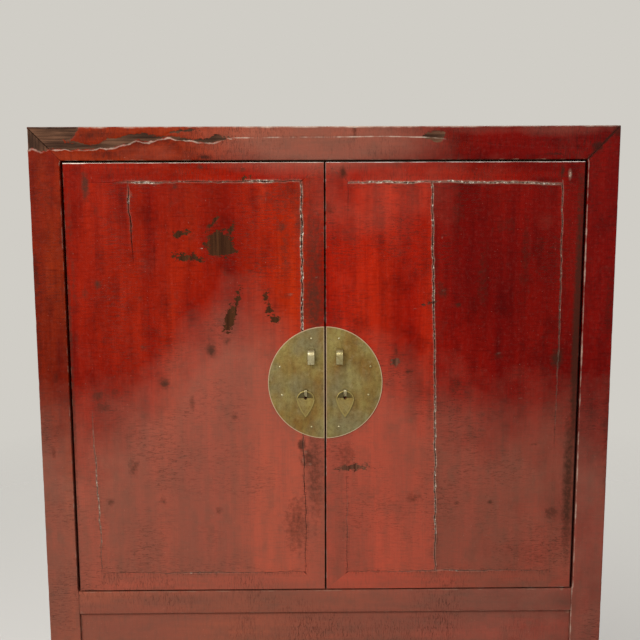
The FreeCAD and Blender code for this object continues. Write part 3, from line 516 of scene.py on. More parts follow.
def doorMember(name, corners, arrises, joints, depth, pitch, tone=None):
    # corners: low left, low right, top right, top left; arrises: radius on each side that is open
    door = name.split("_")[0] + "Door"
    d = doorWear
    lowLeft, lowRight, topRight, topLeft = corners = [np.array(c, float) for c in corners]
    width = max(np.linalg.norm(lowRight - lowLeft), np.linalg.norm(topRight - topLeft))
    height = max(np.linalg.norm(topLeft - lowLeft), np.linalg.norm(topRight - lowRight))
    piece, middle, right, up = doorSheet(name, corners, width, height, depth, pitch)
    toSide = {"left": right * width, "right": (1 - right) * width}
    toSide.update({"low": up * height, "top": (1 - up) * height})
    points = readPoints(piece)
    still = points.copy()
    x, z = still[:, 0], still[:, 2]
    back = points[:, 1] - frontY
    isFace = back < 0.01
    isCrust = back < crust["depth"] + 0.01
    isBack = back > depth - 0.5
    lift, flaking, cleft, rim = np.zeros((4, len(points)))
    for seamName in joints:
        seam = seams[seamName]
        axis = 2 - seam["along"]
        side = np.sign(middle[axis // 2] - seam["at"])
        wander, gape, flake, near = seamReach(seam, still, side)
        atCrack = near < crust["atLine"]
        shift = wander * bell(near, crust["reach"])
        shift += side * gape / 2 * bell(near, crust["opening"])
        points[:, axis] += np.where(isCrust, shift, side * crust["play"] * atCrack)
        thin = crust["thinFlaking"]
        own = flake * np.maximum(fade(near, seam["spread"]), thin["share"] * fade(near, thin["reach"]))
        flaking = np.maximum(flaking, own)
        lips = crust["lips"]
        spots = still.copy()
        spots[:, 1] = side * 9
        pitches = [lips["across"]] * 3
        pitches[seam["along"]] = lips["along"]
        lumps = 0.5 + waves(spots, ((0.9, pitches, 0), (0.4, lips["across"], 8.1)))
        lift += np.maximum(lumps, 0) * bell(near - lips["at"], lips["reach"]) * flake**0.8 * lips["height"]
        lift -= bell(near, crust["dip"]["reach"]) * np.minimum(1, gape) * crust["dip"]["depth"]
        cleft = np.maximum(cleft, np.where(atCrack, np.clip(gape * 1.5, 0, seam["dark"]), 0))
    if "meeting" in name or "top_rail" in name:
        strength, mitre = d["mitres"][door]
        fromMitre = alongLine(x, z, mitre)
        flaking = np.maximum(flaking, strength * fade(fromMitre, d["mitreLine"]["flaking"]))
        lift -= d["mitreLine"]["depth"] * strength * bell(fromMitre, d["mitreLine"]["reach"])
    hole = d["cotterHole"]
    fromHole = np.hypot(np.abs(x) - hole["x"], (z - hole["z"]) * hole["flat"])
    lift -= hole["depth"] * bell(fromHole, hole["reach"])
    # the walls of the cotter's hole are painted dark: painted shade in the hole
    cleft = np.where(isFace, 0, np.maximum(cleft, fade(fromHole, *hole["dark"])))
    away = np.full(len(points), 99.0)
    inwards = fade(back, *d["inwards"])
    start, run, gain = d["upperRimHighlight"]
    upper = 1 + gain * np.clip((z - start) / run, 0, 1)
    for side, radius in arrises.items():
        near = toSide[side]
        isRim = near < crust["atLine"]
        away = np.minimum(away, near)
        if radius == d["pivotArris"]:    # an even arris, with painted shade and grime beside the post and inside the gap
            uneven = radius + 0.15
            grime = d["postShadeAndGrime"][door] * fade(near, *d["besidePost"])
            cleft = np.maximum(cleft, np.where(back > 2, np.clip(2 * grime, 0, 0.9), grime) * inwards)
        else:
            height, pitch, shift = d["unevenArris"]
            uneven = radius * (1 + height * drift(still, pitch, shift))
            # the pale line: rubbed edge, and a painted highlight strongest on the top arris
            strength = 1.0 if side == "top" else d["rimShare"] * upper
            rim = np.maximum(rim, strength * fade(np.where(back < 2.2, near, 99), 2.0))
            # the sides of the gap are painted dark: painted shade, with some grime
            cleft = np.maximum(cleft, np.where(isRim & (back > 2), d["gapShadeAndGrime"] * inwards, 0))
        inner = np.clip(uneven - near, 0, None)
        lift -= np.where(isFace, uneven - np.sqrt(np.maximum(uneven**2 - inner**2, 0)), 0)
        # the rings behind the face stay behind its rounded edge
        for low, high, share, more in crust["rings"]:
            points[:, 1] += np.where(isRim & (back > low) & (back < high), radius * share + more, 0)
    bare = wornDepth(x, z, worn[door])
    lift += waves(still, d["swell"]) * np.clip(away / 12, 0.15, 1)
    lift -= d["wornDip"] * np.clip(bare / 3 + 0.5, 0, 1)
    points[:, 1] -= np.where(isFace, lift, 0)
    writePoints(piece, points)
    start, run = d["toneRun"][door]
    flaking = np.maximum(flaking, markDepth(x, z, flecks[door]))
    marks = {
        "stain": np.where(isBack, 0, markDepth(x, z, stains[door])),
        "tone": np.where(isBack, d["backTone"], (np.abs(x) - start) / run if tone is None else tone),
        "rim": rim,
        "flaking": np.where(back < crust["depth"] + 0.1, flaking, 0),
        "cleft": np.where(isBack, 0, cleft),
        "bare": np.where(isFace, bare / markRun["bare"] + 0.5, 0),
        "arris": np.where(back < paintedSheen["doorFace"], fade(away, markRun["arris"]), 0),
    }
    for mark, values in marks.items():
        paint(piece, mark, values)
    return piece


def joinPieces(name, parts):
    selectOnly(parts[0])
    for part in parts[1:]:
        part.select_set(True)
    if len(parts) > 1:
        bpy.ops.object.join()
    parts[0].name = name
    parts[0].data.name = name
    return parts[0]


def doorPivots(side):
    # turned wooden pins at both ends of the hinge stile, their ends eased
    pins = []
    x, y = doorFit["pivot"]
    for number, (low, high) in enumerate(doorFit["pins"]):
        selectNothing()
        bpy.ops.mesh.primitive_cylinder_add(
            vertices=40,
            radius=doorFit["pinRadius"] * mm,
            depth=(high - low) * mm,
            location=(signs[side] * x * mm, y * mm, (low + high) / 2 * mm),
        )
        pin = newPiece(f"{side}_pin_{number}")
        # the pins are painted dark all over: painted shade, as they sit in their holes
        paint(pin, "cleft", np.ones(len(pin.data.vertices)))
        editAll()
        bpy.ops.mesh.bevel(offset=doorFit["pinEase"] * mm, segments=2, affect="EDGES")
        leaveEdit()
        pins.append(pin)
    return pins


def buildDoor(side):
    d, arris = doorFit, doorWear["arris"]
    low, high, inner, outer = d["low"], d["high"], d["inner"], d["outer"]
    stileIn, stileOut = d["meetingJoint"], d["hingeJoint"]
    boardLow, boardHigh = low + d["rail"], high - d["rail"]
    toMeeting, toHinge = ("left", "right") if side == "right" else ("right", "left")
    # the right door's meeting side takes the base colour and its hinge side the darker one: painted shade, as
    # the light falls from the left
    tones = (None, None) if side == "left" else (0, 1)

    def member(name, corners, arrises, joints, tone=None, depth=d["thick"], cell=d["cell"]):
        if side == "left":
            lowLeft, lowRight, topRight, topLeft = [(-x, z) for x, z in corners]
            corners = (lowRight, lowLeft, topLeft, topRight)
        joints = [side + joint for joint in joints]
        return doorMember(f"{side}_{name}", corners, arrises, joints, depth, cell, tone)

    members = {}
    for node, corners, arrises, joint, tone in (
        (
            "meeting_stile", ((inner, low), (stileIn, boardLow), (stileIn, boardHigh), (inner, high)),
            {toMeeting: arris}, "Meeting", tones[0],
        ),
        (
            "hinge_stile", ((stileOut, low), (outer, low), (outer, high), (stileOut, high)),
            {toHinge: doorWear["pivotArris"], "low": arris, "top": arris}, "Hinge", tones[1],
        ),
        (
            "door_top_rail", ((stileIn, boardHigh), (stileOut, boardHigh), (stileOut, high), (inner, high)),
            {"top": arris}, "Top", None,
        ),
        (
            "door_bottom_rail", ((inner, low), (stileOut, low), (stileOut, boardLow), (stileIn, boardLow)),
            {"low": arris}, "Low", None,
        ),
    ):
        members[node] = [member(node + "_face", corners, arrises, [joint], tone)]
    joint = d[side + "BoardsAt"]
    members["door_boards"] = []
    for number, (near, far, edge) in enumerate(((stileIn, joint, "Meeting"), (joint, stileOut, "Hinge"))):
        corners = ((near, boardLow), (far, boardLow), (far, boardHigh), (near, boardHigh))
        joints = ["Top", "Low", edge, "Boards"]
        board = member(f"board_{number}", corners, {}, joints, tones[number], d["board"], d["boardCell"])
        members["door_boards"].append(board)
    members["hinge_stile"] += doorPivots(side)
    for node, parts in members.items():
        piece = joinPieces(f"{side}_{node}_face", parts)
        grain = 0 if "rail" in node else 2
        finishPiece(piece, f"{side}_{node}", side + "_door", side + "Door", grain)
    return len(members)


print("doors modelled:", sum(buildDoor(side) for side in signs), "members")


# Straight members: a cube at its size and place, its edges eased, its sides cut finely enough to be uneven
def isAlong(edge, axis, shortest):
    run = edge.verts[1].co - edge.verts[0].co
    return abs(run[axis]) > run.length * 0.99 and run.length > shortest


def cutAlong(piece, axis, pitch, reach):
    # subdivide makes 100 cuts at most, so a long member is cut coarsely, and then each of its cells finely
    cells = math.ceil(reach / (pitch * mm))
    coarse = math.ceil(math.sqrt(cells)) if cells > 100 else cells
    for count, length in ((coarse, reach), (math.ceil(cells / coarse), reach / coarse)):
        if count > 1:
            selectEdges(piece, lambda edge: isAlong(edge, axis, length * 0.6))
            bpy.ops.mesh.subdivide(number_cuts=count - 1)


def bar(name, low, high, pitch, arris, cuts=()):
    # low, high: corners in mm; pitch: cell size on each axis; cuts: (point, outward normal) of mitres
    low, high = np.array(low, float), np.array(high, float)
    size = (high - low) * mm
    selectNothing()
    bpy.ops.mesh.primitive_cube_add(size=1, location=tuple((low + high) / 2 * mm), scale=tuple(size))
    piece = newPiece(name)
    editAll()
    bpy.ops.mesh.bevel(offset=arris * mm, segments=3, affect="EDGES")
    for axis in range(3):
        cutAlong(piece, axis, pitch[axis], size[axis] - 2 * arris * mm)
    for point, normal in cuts:
        bpy.ops.mesh.select_all(action="SELECT")
        place = tuple(np.array(point) * mm)
        bpy.ops.mesh.bisect(plane_co=place, plane_no=normal, use_fill=True, clear_outer=True)
    leaveEdit()
    points = readPoints(piece)
    nearEdge = np.sort(np.minimum(points - low, high - points), axis=1)
    paint(piece, "arris", fade(np.hypot(nearEdge[:, 0], nearEdge[:, 1]), markRun["arris"]))
    return piece


def pushOut(piece, points, lift):
    normals = readValues(piece.data.vertices, "normal", 3).astype(float)
    writePoints(piece, points + normals * lift[:, None])


weathering = {"across": 46.0, "along": 380.0, "dents": (17, 6.1, 0.25)}


def dress(piece, node, slotName, grain, body="carcase", amount=0.3, dent=0.7):
    # slow swells along the grain, and softened, slightly dented edges
    points = readPoints(piece)
    pitches = [weathering["across"]] * 3
    pitches[grain] = weathering["along"]
    arris = readValues(piece.data.attributes["arris"].data, "value", 1)[:, 0]
    pitch, shift, least = weathering["dents"]
    dents = np.clip(drift(points, pitch, shift) - least, 0, 1) * np.clip(arris * 1.6 - 0.6, 0, 1)
    pushOut(piece, points, amount * drift(points, pitches) - dent * dents)
    finishPiece(piece, node, body, "elm" if slotName == "bare_wood" else "frame", grain)


runs = (halfWidth - postInner, postDepth, topZ - railLow)


def mitrePlane(sx, sy, drop, keep, gape=0.06):
    # plane through the inner and outer line of a top corner; drop and keep are axes: 0 x, 1 y, 2 z
    inner = Vector((sx * postInner, postBack if sy < 0 else rearFront, railLow))
    outward = [sx / runs[0], sy / runs[1], 1 / runs[2]]
    normal = Vector((0, 0, 0))
    normal[drop] = outward[drop]
    normal[keep] = -outward[keep]
    normal.normalize()
    return tuple(inner - normal * gape), tuple(normal)


frameWear = {
    "tearAcross": ((3.5, 11, 3.1), (1.4, 4.5, 9.4)),
    "tearUp": ((2.1, 13, 6.6), (1.05, 5, 2.9)),
    "face": 6,               # splits and mitre lines show on the front face alone
    "cornerBack": 60,        # and the worn corner goes on over the edges
    # depth or height in mm and how far it reaches: the worn corner, its lip, the split and the mitre lines
    "worn": 0.75,
    "lip": (0.7, 2.2),
    "split": (0.35, 1.5),
    "mitre": (0.5, 2),
    "mitres": ((-1, 0.15), (1, 0.85)),    # side, how plain its mitre line is
    # how pale a lip is, how far from it and from what strength on it fades
    "railLip": (0.54, 2.4, 1.05),
    "postLip": (0.36, 4, 1.1),
    "topArrisHighlight": ((-460, 0.25), (-420, 0.5), (-200, 0.6), (50, 0.9), (300, 0.6)),    # x, how pale the painted highlight along the top front arris is
    "splitLine": (
        (-180, 0), (-160, 0.7), (-120, 0.42), (-20, 0.36), (20, 0.55), (60, 0.8), (190, 0.7), (250, 0),
    ),
    # how pale the inner arris of each post is: a rubbed edge, and on the right post, turned towards the
    # light, a painted highlight too
    "postLineAndHighlight": {"left": 0.3, "right": 0.75},
    "openingScrape": 2.0,    # how far the post's inner edge is worn back beside the door
    "scrapeLow": 551,        # and from what height up
}


def frameFaces(piece, side):
    # worn corner, splits and mitre lines on the front posts and the top front rail
    wear = frameWear
    points = readPoints(piece)
    x, z = points[:, 0].copy(), points[:, 2]
    front = points[:, 1] - frontY
    isFace, isSeen = front < wear["face"], front < wear["cornerBack"]
    # round the edges the outline goes on as it does on the face
    u = np.where(x < 3 - halfWidth, -halfWidth - np.maximum(front, 0), x) + waves(points, wear["tearAcross"])
    w = np.where(z > topZ - 3, topZ + np.maximum(front, 0), z) + waves(points, wear["tearUp"])
    bare = np.maximum(
        np.where(isSeen, insideOutline(u, w, wornCorner), -99),
        np.where(isFace, insideOutline(u, w, wornScuff), -99),
    )
    split = np.where(isFace, alongLine(x, z, railSplit), 99)
    lip = np.where(isSeen, alongLine(u, w + 1.5, wornLip), 99)
    lift = -wear["worn"] * np.clip(bare / 3 + 0.4, 0, 1)
    for (height, reach), away, sign in ((wear["lip"], lip, 1), (wear["split"], split, -1)):
        lift += sign * height * bell(away, reach)
    flaking = 0.3 * fade(split, 4)
    stain = np.where(isFace, markDepth(x, z, stains["frame"]), 0)
    pale, *fading = wear["railLip" if side == "both" else "postLip"]
    rim = pale * fade(lip, *fading)
    for sx, strength in wear["mitres"]:
        ends = ((sx * postInner, railLow), (sx * halfWidth, topZ))
        away = np.where(isFace, alongLine(x, z, ends), 99)
        lift -= wear["mitre"][0] * strength * bell(away, wear["mitre"][1])
        flaking = np.maximum(flaking, 0.55 * strength * fade(away, 5))
        stain = np.maximum(stain, strength * fade(away, 3.5, 1.3))
    if side == "both":
        # a painted highlight along the top front arris
        topArrisHighlight = np.interp(x, *np.array(wear["topArrisHighlight"], float).T)
        rim = np.maximum(rim, topArrisHighlight * fade(np.hypot(front, topZ - z), 4))
        bright = np.interp(x, *np.array(wear["splitLine"], float).T)
        rim = np.maximum(rim, bright * fade(split, 1.5, 1.05))
    else:
        fromInner = np.abs(np.abs(x) - postInner) + np.maximum(front, 0)
        rim = np.maximum(rim, wear["postLineAndHighlight"][side] * fade(fromInner, 2.8))
        beside = np.clip((postInner + 14 - np.abs(x)) / 14, 0, 1) * fade(front, 40)
        beside *= np.clip((z - wear["scrapeLow"]) / 4, 0, 1) * np.clip((railLow - z) / 5, 0, 1)
        points[:, 0] += signs[side] * wear["openingScrape"] * beside
    pushOut(piece, points, lift)
    bare = bare / markRun["bare"] + 0.5
    for mark, values in (("rim", rim), ("stain", stain), ("bare", bare), ("flaking", flaking)):
        paint(piece, mark, values)


# Cell sizes of the frame: the front has the worn corner and the split, so it's finer
frameCells = {"front": ((2.0, 7, 2.2), (2.0, 7, 1.2)), "rear": ((8, 8, 10), (14, 10, 10)), "side": (8, 8, 8)}
frameArris = 1.8


def frameBar(node, low, high, cells, grain, cuts, face=None, dent=0.7):
    piece = bar(node + "_body", low, high, cells, frameArris, cuts)
    if face:
        frameFaces(piece, face)
    dress(piece, node, "frame_lacquer", grain, dent=dent)


depths = (("front", -1, frontY, postBack), ("rear", 1, rearFront, backY))
spans = {side: sorted((sx * postInner, sx * halfWidth)) for side, sx in signs.items()}
for (side, sx), (place, sy, front, back) in itertools.product(signs.items(), depths):
    inner, outer = spans[side]
    cuts = [mitrePlane(sx, sy, 2, keep) for keep in (0, 1)]
    face = side if place == "front" else None
    low, high = (inner, front, 0), (outer, back, topZ)
    frameBar(f"{place}_{side}_post", low, high, frameCells[place][0], 2, cuts, face)
for place, sy, front, back in depths:
    cuts = [mitrePlane(sx, sy, 0, keep) for sx in (-1, 1) for keep in (2, 1)]
    face = "both" if place == "front" else None
    low, high = (-halfWidth, front, railLow), (halfWidth, back, topZ)
    frameBar(f"top_{place}_rail", low, high, frameCells[place][1], 0, cuts, face, 0.35)
for side, sx in signs.items():
    inner, outer = spans[side]
    cuts = [mitrePlane(sx, sy, 1, keep) for sy in (-1, 1) for keep in (2, 0)]
    frameBar(f"top_{side}_rail", (inner, frontY, railLow), (outer, backY, topZ), frameCells["side"], 1, cuts)
print("posts and top frame modelled")


# Rails, boards and strips: each node's boxes in mm, the way its grain runs and the size of its cells
def longRail(low, high, ledge):
    # rail between two posts, with a ledge for boards on its inner side
    rear = postBack - 12
    return [((-490, frontY, low), (490, rear, high)), ((-490, rear - 0.5, low), (490, postBack, ledge))]


def behind(boxes):
    turn = frontY + backY
    return [((a[0], turn - b[1], a[2]), (b[0], turn - a[1], b[2])) for a, b in boxes]


def across(boxes):
    return [((-b[0], a[1], a[2]), (-a[0], b[1], b[2])) for a, b in boxes]


def planks(low, high, axis, joints):
    # boards side by side, a hairline apart
    edges = [low[axis], *joints, high[axis]]
    boards = []
    for near, far in zip(edges, edges[1:]):
        a, b = list(low), list(high)
        a[axis], b[axis] = near + 0.3, far - 0.3
        boards.append((a, b))
    return boards


def bare(boxes, grain, cell):
    return boxes, grain, "bare_wood", cell


def coated(boxes, grain, cell):
    return boxes, grain, "frame_lacquer", cell


quarters, thirds = (-244.8, 0, 244.8), (-64.08, 78.58)
floorBoards = planks((-489.6, -218.35, 241), (489.6, 232.85, 255), 0, quarters)
shelfBoards = planks((-489.6, -215.35, 947), (489.6, 229.85, 961), 0, quarters)
shelfFront = [((-490, -224.75, 921), (490, -215.75, 961)), ((-490, -216.25, 921), (490, -206.75, 947))]
shelfRear = [((-490, 230.25, 921), (490, 261.25, 961)), ((-490, 221.25, 921), (490, 230.75, 947))]
shelfSide = [((490, -206.75, 921), (534, 221.25, 961))]
straight = {
    "door_sill_rail": coated(longRail(505, 551, 537), 0, 9),
    "front_bottom_rail": coated(longRail(209, 255, 241), 0, 9),
    "rear_middle_rail": bare(behind(longRail(505, 551, 537)), 0, 11),
    "rear_bottom_rail": bare(behind(longRail(209, 255, 241)), 0, 11),
    "compartment_front_board": coated([((-490, -256.75, 255), (490, -246.75, 505))], 0, 9),
    "compartment_floor_boards": bare(floorBoards, 1, 12),
    "door_stop_strips": bare([((-456, -233.95, z), (456, -221.95, z + 8)) for z in (551, 1390)], 0, 6),
    "back_upper_boards": bare(planks((-490, 261.25, 551), (490, 271.25, 1398), 0, (-245, 0, 245)), 2, 12),
    "back_lower_boards": bare(planks((-490, 261.25, 255), (490, 271.25, 505), 0, (-245, 0, 245)), 2, 12),
    "front_apron": coated([((-370, -252.75, 167), (370, -232.75, 209))], 0, 9),
    "shelf_front_rail": bare(shelfFront, 0, 11),
    "shelf_rear_rail": bare(shelfRear, 0, 11),
    "shelf_side_rails": bare(shelfSide + across(shelfSide), 1, 11),
    "shelf_boards": bare(shelfBoards, 1, 12),
    "top_boards": coated(planks((-490, -206.75, 1444), (490, 221.25, 1458), 1, thirds), 0, 10),
    "top_batten": bare([((-22, -206.75, 1414), (22, 221.25, 1444))], 1, 10),
}
battens = [((44.5, -246.75, z), (444, -234.75, z + 40)) for z in (762, 1146)]
for side, turned in (("left", across), ("right", list)):
    for place, low in (("middle", 505), ("bottom", 209)):
        rail = turned([((490, -206.75, low), (550, 221.25, low + 46))])
        straight[f"{side}_{place}_rail"] = coated(rail, 1, 9)
    for place, low, high in (("upper", 551, 1398), ("lower", 255, 505)):
        boards = turned(planks((534, -206.75, low), (544, 221.25, high), 1, (7.25,)))
        straight[f"{side}_{place}_boards"] = coated(boards, 2, 11)
    straight[f"{side}_door_battens"] = bare(turned(battens), 0, 8)

for node, (boxes, grain, slotName, cell) in straight.items():
    pitches = [cell] * 3
    pitches[grain] = 4 * cell
    members = [bar(f"{node}_{number}", low, high, pitches, 0.9) for number, (low, high) in enumerate(boxes)]
    for number, member in enumerate(members):    # each board takes its own tone
        tone = lattice[len(finished) % noise["cells"], number, 0]
        paint(member, "plank", np.full(len(member.data.vertices), tone))
    piece = joinPieces(node + "_body", members)
    body = node[: node.index("_")] + "_door" if "battens" in node else "carcase"
    dress(piece, node, slotName, grain, body)
print("rails and boards modelled:", len(straight))


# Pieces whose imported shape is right: a clean copy with eased edges
def easedCopy(node, body, finish, grain, width, angle=30):
    selectOnly(frame["nodes"][node])
    bpy.ops.object.duplicate()
    piece = bpy.context.object
    bpy.ops.object.parent_clear(type="CLEAR_KEEP_TRANSFORM")
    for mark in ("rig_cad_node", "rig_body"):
        if mark in piece:
            del piece[mark]
    piece.name = node + "_eased"
    piece.data.name = piece.name
    editAll()
    bpy.ops.mesh.remove_doubles(threshold=1e-5)
    bpy.ops.mesh.dissolve_limited(angle_limit=math.radians(0.5))
    leaveEdit()
    turn = math.radians(angle)
    bpy.ops.object.shade_smooth_by_angle(angle=turn)
    ease = {"width": width * mm, "segments": 2, "limit_method": "ANGLE", "angle_limit": turn}
    applyModifier(piece, "BEVEL", **ease, harden_normals=True)
    finishPiece(piece, node, body, finish, grain, None)
    return piece


easedCopy("front_apron_brackets", "carcase", "frame", 0, 0.9)
for side in signs:
    easedCopy(side + "_apron", "carcase", "frame", 1, 0.9)
    easedCopy(side + "_compartment_lid", side + "_lid", "elm", 1, 0.8)
    easedCopy(side + "_lock_plate", side + "_door", "plate", 0, 0.35)
    easedCopy(side + "_pull_cotter", side + "_door", "rubbed", 0, 0.3)
    leaf = easedCopy(side + "_leaf_pull", side + "_pull", "pull", 0, 0.3)
    outward = readPoints(leaf)[:, 1].min() + 0.45 - readPoints(leaf)[:, 1]
    paint(leaf, "rim", outward / 0.4 + 0.1)    # the wire round the leaf is rubbed paler than its middle

# Staples for the padlock's bolt: a strip bent out from the plate, straight up its front and back in below
staple = {
    "across": 27.3,
    "halfWidth": 6.6,
    "plateFace": -264.25,
    "gauge": 2.2,
    "ease": 0.45,
    "profile": (    # how far out from the plate, height
        (-4, 1041.0), (2.0, 1041.0), (5.0, 1040.5), (8.4, 1038.2), (11.2, 1034.4),
        (12.8, 1029.6), (13.0, 1015.2), (12.3, 1012.6), (10.2, 1011.5), (-4, 1011.2),
    ),
}


def buildStaple(side):
    middle = signs[side] * staple["across"]
    low, high = middle - staple["halfWidth"], middle + staple["halfWidth"]
    spots = [Vector((0, staple["plateFace"] - out, z)) * mm for out, z in staple["profile"]]
    selectNothing()
    bpy.ops.mesh.primitive_plane_add(size=1, location=(0, 0, 0))
    piece = newPiece(side + "_lock_staple_strip")
    first = []
    for x, y, z in readPoints(piece):
        spot = spots[1 if y > 0 else 0]
        first.append([high if x > 0 else low, spot.y / mm, spot.z / mm])
    writePoints(piece, np.array(first))
    bpy.ops.object.mode_set(mode="EDIT")
    selectEdges(piece, lambda edge: all(abs(v.co.y - spots[1].y) < 1e-6 for v in edge.verts))
    for a, b in zip(spots[1:], spots[2:]):
        bpy.ops.mesh.extrude_edges_move(TRANSFORM_OT_translate={"value": tuple(b - a)})
    turnOutwards()
    leaveEdit()
    applyModifier(piece, "SOLIDIFY", thickness=staple["gauge"] * mm, offset=-1.0)
    ease = {"width": staple["ease"] * mm, "segments": 1, "limit_method": "ANGLE"}
    applyModifier(piece, "BEVEL", **ease, angle_limit=math.radians(50))
    editAll()
    turnOutwards()
    leaveEdit()
    finishPiece(piece, side + "_lock_staple", side + "_door", "rubbed", 0, 28)


for side in signs:
    buildStaple(side)
print("fittings modelled")


# Colour and finish
def hexColour(code):
    channels = [int(code[i : i + 2], 16) / 255 for i in (1, 3, 5)]
    return [v / 12.92 if v <= 0.04045 else ((v + 0.055) / 1.055) ** 2.4 for v in channels] + [1.0]


def addNode(tree, kind, inputs=None, out=0, **settings):
    # an input is a value or another node's output; gives back the output that is asked for
    node = tree.nodes.new("ShaderNode" + kind)
    for name, value in settings.items():
        setattr(node, name, value)
    for name, value in (inputs or {}).items():
        if isinstance(value, bpy.types.NodeSocket):
            tree.links.new(value, node.inputs[name])
        else:
            node.inputs[name].default_value = value
    return node.outputs[out] if len(node.outputs) else None


def newMaterial(name):
    material = bpy.data.materials.new(name)
    material.use_nodes = True
    tree = material.node_tree
    tree.nodes.clear()
    return material, tree, addNode(tree, "TexCoord", out="Object")


def layer(name, colour, size=None, between=None, **more):
    # a coat in patches: their size in mm, and the two levels of noise between which they rise;
    # along below 1 stretches them along the grain, lay MULTIPLY deepens what is below
    return {"name": name, "colour": colour, "size": size, "between": between, **more}


def patchMask(tree, place, grain, patch, marks):
    # 0 to 1: noise of a real size in mm, pushed by a painted mark, and cut between two levels
    turned = [1.0, 1.0, 1.0]
    turned[grain] = patch.get("along", 1)
    where = addNode(tree, "Mapping", {"Vector": place, "Scale": turned})
    texture = {"Vector": where, "Scale": 1 / (patch["size"] * mm), "Detail": patch.get("detail", 4)}
    value = addNode(tree, "TexNoise", {**texture, "Roughness": patch.get("rough", 0.5)})
    mark = marks.get(patch.get("mark"))
    if mark is not None:
        value = addNode(tree, "Math", {0: value, 1: patch["push"], 2: mark}, operation="MULTIPLY_ADD")
    low, high = patch["between"]
    levels = {"From Min": low, "From Max": high, "To Max": patch.get("top", 1)}
    mask = addNode(tree, "MapRange", {"Value": value, **levels})
    if "only" in patch:
        low, high = patch["only"]    # nothing shows where the mark is fainter than this
        near = addNode(tree, "MapRange", {"Value": mark, "From Min": low, "From Max": high})
        mask = addNode(tree, "Math", {0: mask, 1: near}, operation="MULTIPLY")
    return mask


def layOver(tree, place, grain, base, layers, look, marks, ready):
    # each layer covers the last where its patches show; ready holds masks and colours by name
    colour = hexColour(base) if isinstance(base, str) else base
    for coat in layers:
        if coat["name"] not in ready:
            ready[coat["name"]] = patchMask(tree, place, grain, coat, marks)
        code = look.get(coat["colour"], coat["colour"])
        over = ready[code] if code in ready else hexColour(code)
        inputs = {0: ready[coat["name"]], 6: colour, 7: over}
        colour = addNode(tree, "Mix", inputs, 2, data_type="RGBA", blend_type=coat.get("lay", "MIX"))
    return colour


def finishMaterial(tree, bump, height, **surface):
    # the shader and its output; bump is (strength, distance in metres)
    strength, distance = bump
    normal = addNode(tree, "Bump", {"Strength": strength, "Distance": distance, "Height": height})
    inputs = {name.replace("_", " "): value for name, value in surface.items()}
    shader = addNode(tree, "BsdfPrincipled", {**inputs, "Normal": normal})
    addNode(tree, "OutputMaterial", {"Surface": shader})


# Layers of the lacquer, from the pigment up
lacquerLayers = (
    layer("hue", "#dca090", 77, (0.36, 0.64), along=0.15, lay="MULTIPLY"),
    layer("cloud", "#c8a8a4", 125, (0.4, 0.68), along=0.3, top=0.7, lay="MULTIPLY"),
    layer("streak", "#b48c84", 19, (0.4, 0.74), along=0.09, detail=5, top=0.5, lay="MULTIPLY"),
    layer("brush", "#b08c84", 3.3, (0.4, 0.74), along=0.04, detail=2, top=0.26, lay="MULTIPLY"),
    layer("ripple", "#a07c74", 24, (0.5, 0.74), along=6.5, detail=3, top=0.45, lay="MULTIPLY"),
    layer("mottle", "#9c8078", 25, (0.5, 0.74), along=0.6, detail=7, top=0.5, lay="MULTIPLY"),
    layer("haze", "#b08c7c", 6, (0.5, 0.76), along=0.8, detail=6, rough=0.7, top=0.03),
    layer("smudge", "grime", 38, (0.66, 0.8), along=0.6, detail=7, top=0.5),
    layer("speck", "#a06a5c", 3.8, (0.7, 0.77), detail=3, top=0.45),
    # painted sheen, a hazy reflection laid over the lacquer where its mark is painted, and soft dark patches
    # of grime colour where the stain marks lie
    layer("veil", "dull", 83, (0.42, 1.2), detail=5, rough=0.6, mark="paintedSheen", push=0.7, top=0.26),
    layer("settled", "grime", 8, (0.82, 1.45), detail=6, rough=0.7, mark="stain", push=1.3, top=0.8),
    layer("crackle", "grime"),
    # dust beside the joints, gesso where their lips have chipped, and wood where all of it has worn through
    layer("dusty", "dust", 9, (0.6, 1.2), mark="flaking", push=0.5, top=0.62, only=(0.3, 0.5)),
    layer("chip", "gesso", 6.5, (1.3, 1.5), mark="flaking", push=1.1),
    layer("through", "wood"),
    # rubbed arrises: a broken scrape everywhere, and a pale line where a rim is marked, which on the upper
    # arrises is also a painted highlight
    layer("scrape", "#84604f", 16.7, (1.22, 1.28), detail=5, mark="arris", push=0.6, top=0.7),
    layer(
        "line", "paleLine", 30, (1.1, 1.8), detail=6, rough=0.65,
        mark="rim", push=1.8, top=0.92, only=(0, 0.2),
    ),
    # near black: dark cracks, and painted shade in the gaps, the cotter's holes and on the pivot pins
    layer("cleft", "#0c0504"),
)
gessoLayers = (
    layer("gessoTone", "#b8a48e", 6, (0.42, 0.62)),
    layer("gessoChalk", "#ece0ce", 4, (0.52, 0.66)),
)
woodLayers = (
    layer("fibre", "woodPale", 4.2, (0.35, 0.7), along=0.05),
    layer("blotch", "woodStain", 26, (0.42, 0.62), along=0.3, top=0.7),
)
crackleSpread = layer("spread", None, 111, (0.42, 0.66), top=0.9)
glossSpread = layer("gloss", None, 55, (0.3, 0.7), along=0.3, detail=3, top=0.16)
lacquerMarks = ("flaking", "cleft", "bare", "arris", "stain", "tone", "rim", "paintedSheen")
reliefOf = {"ripple": -0.25, "crackle": -1.2, "through": -0.8}    # against the brush marks


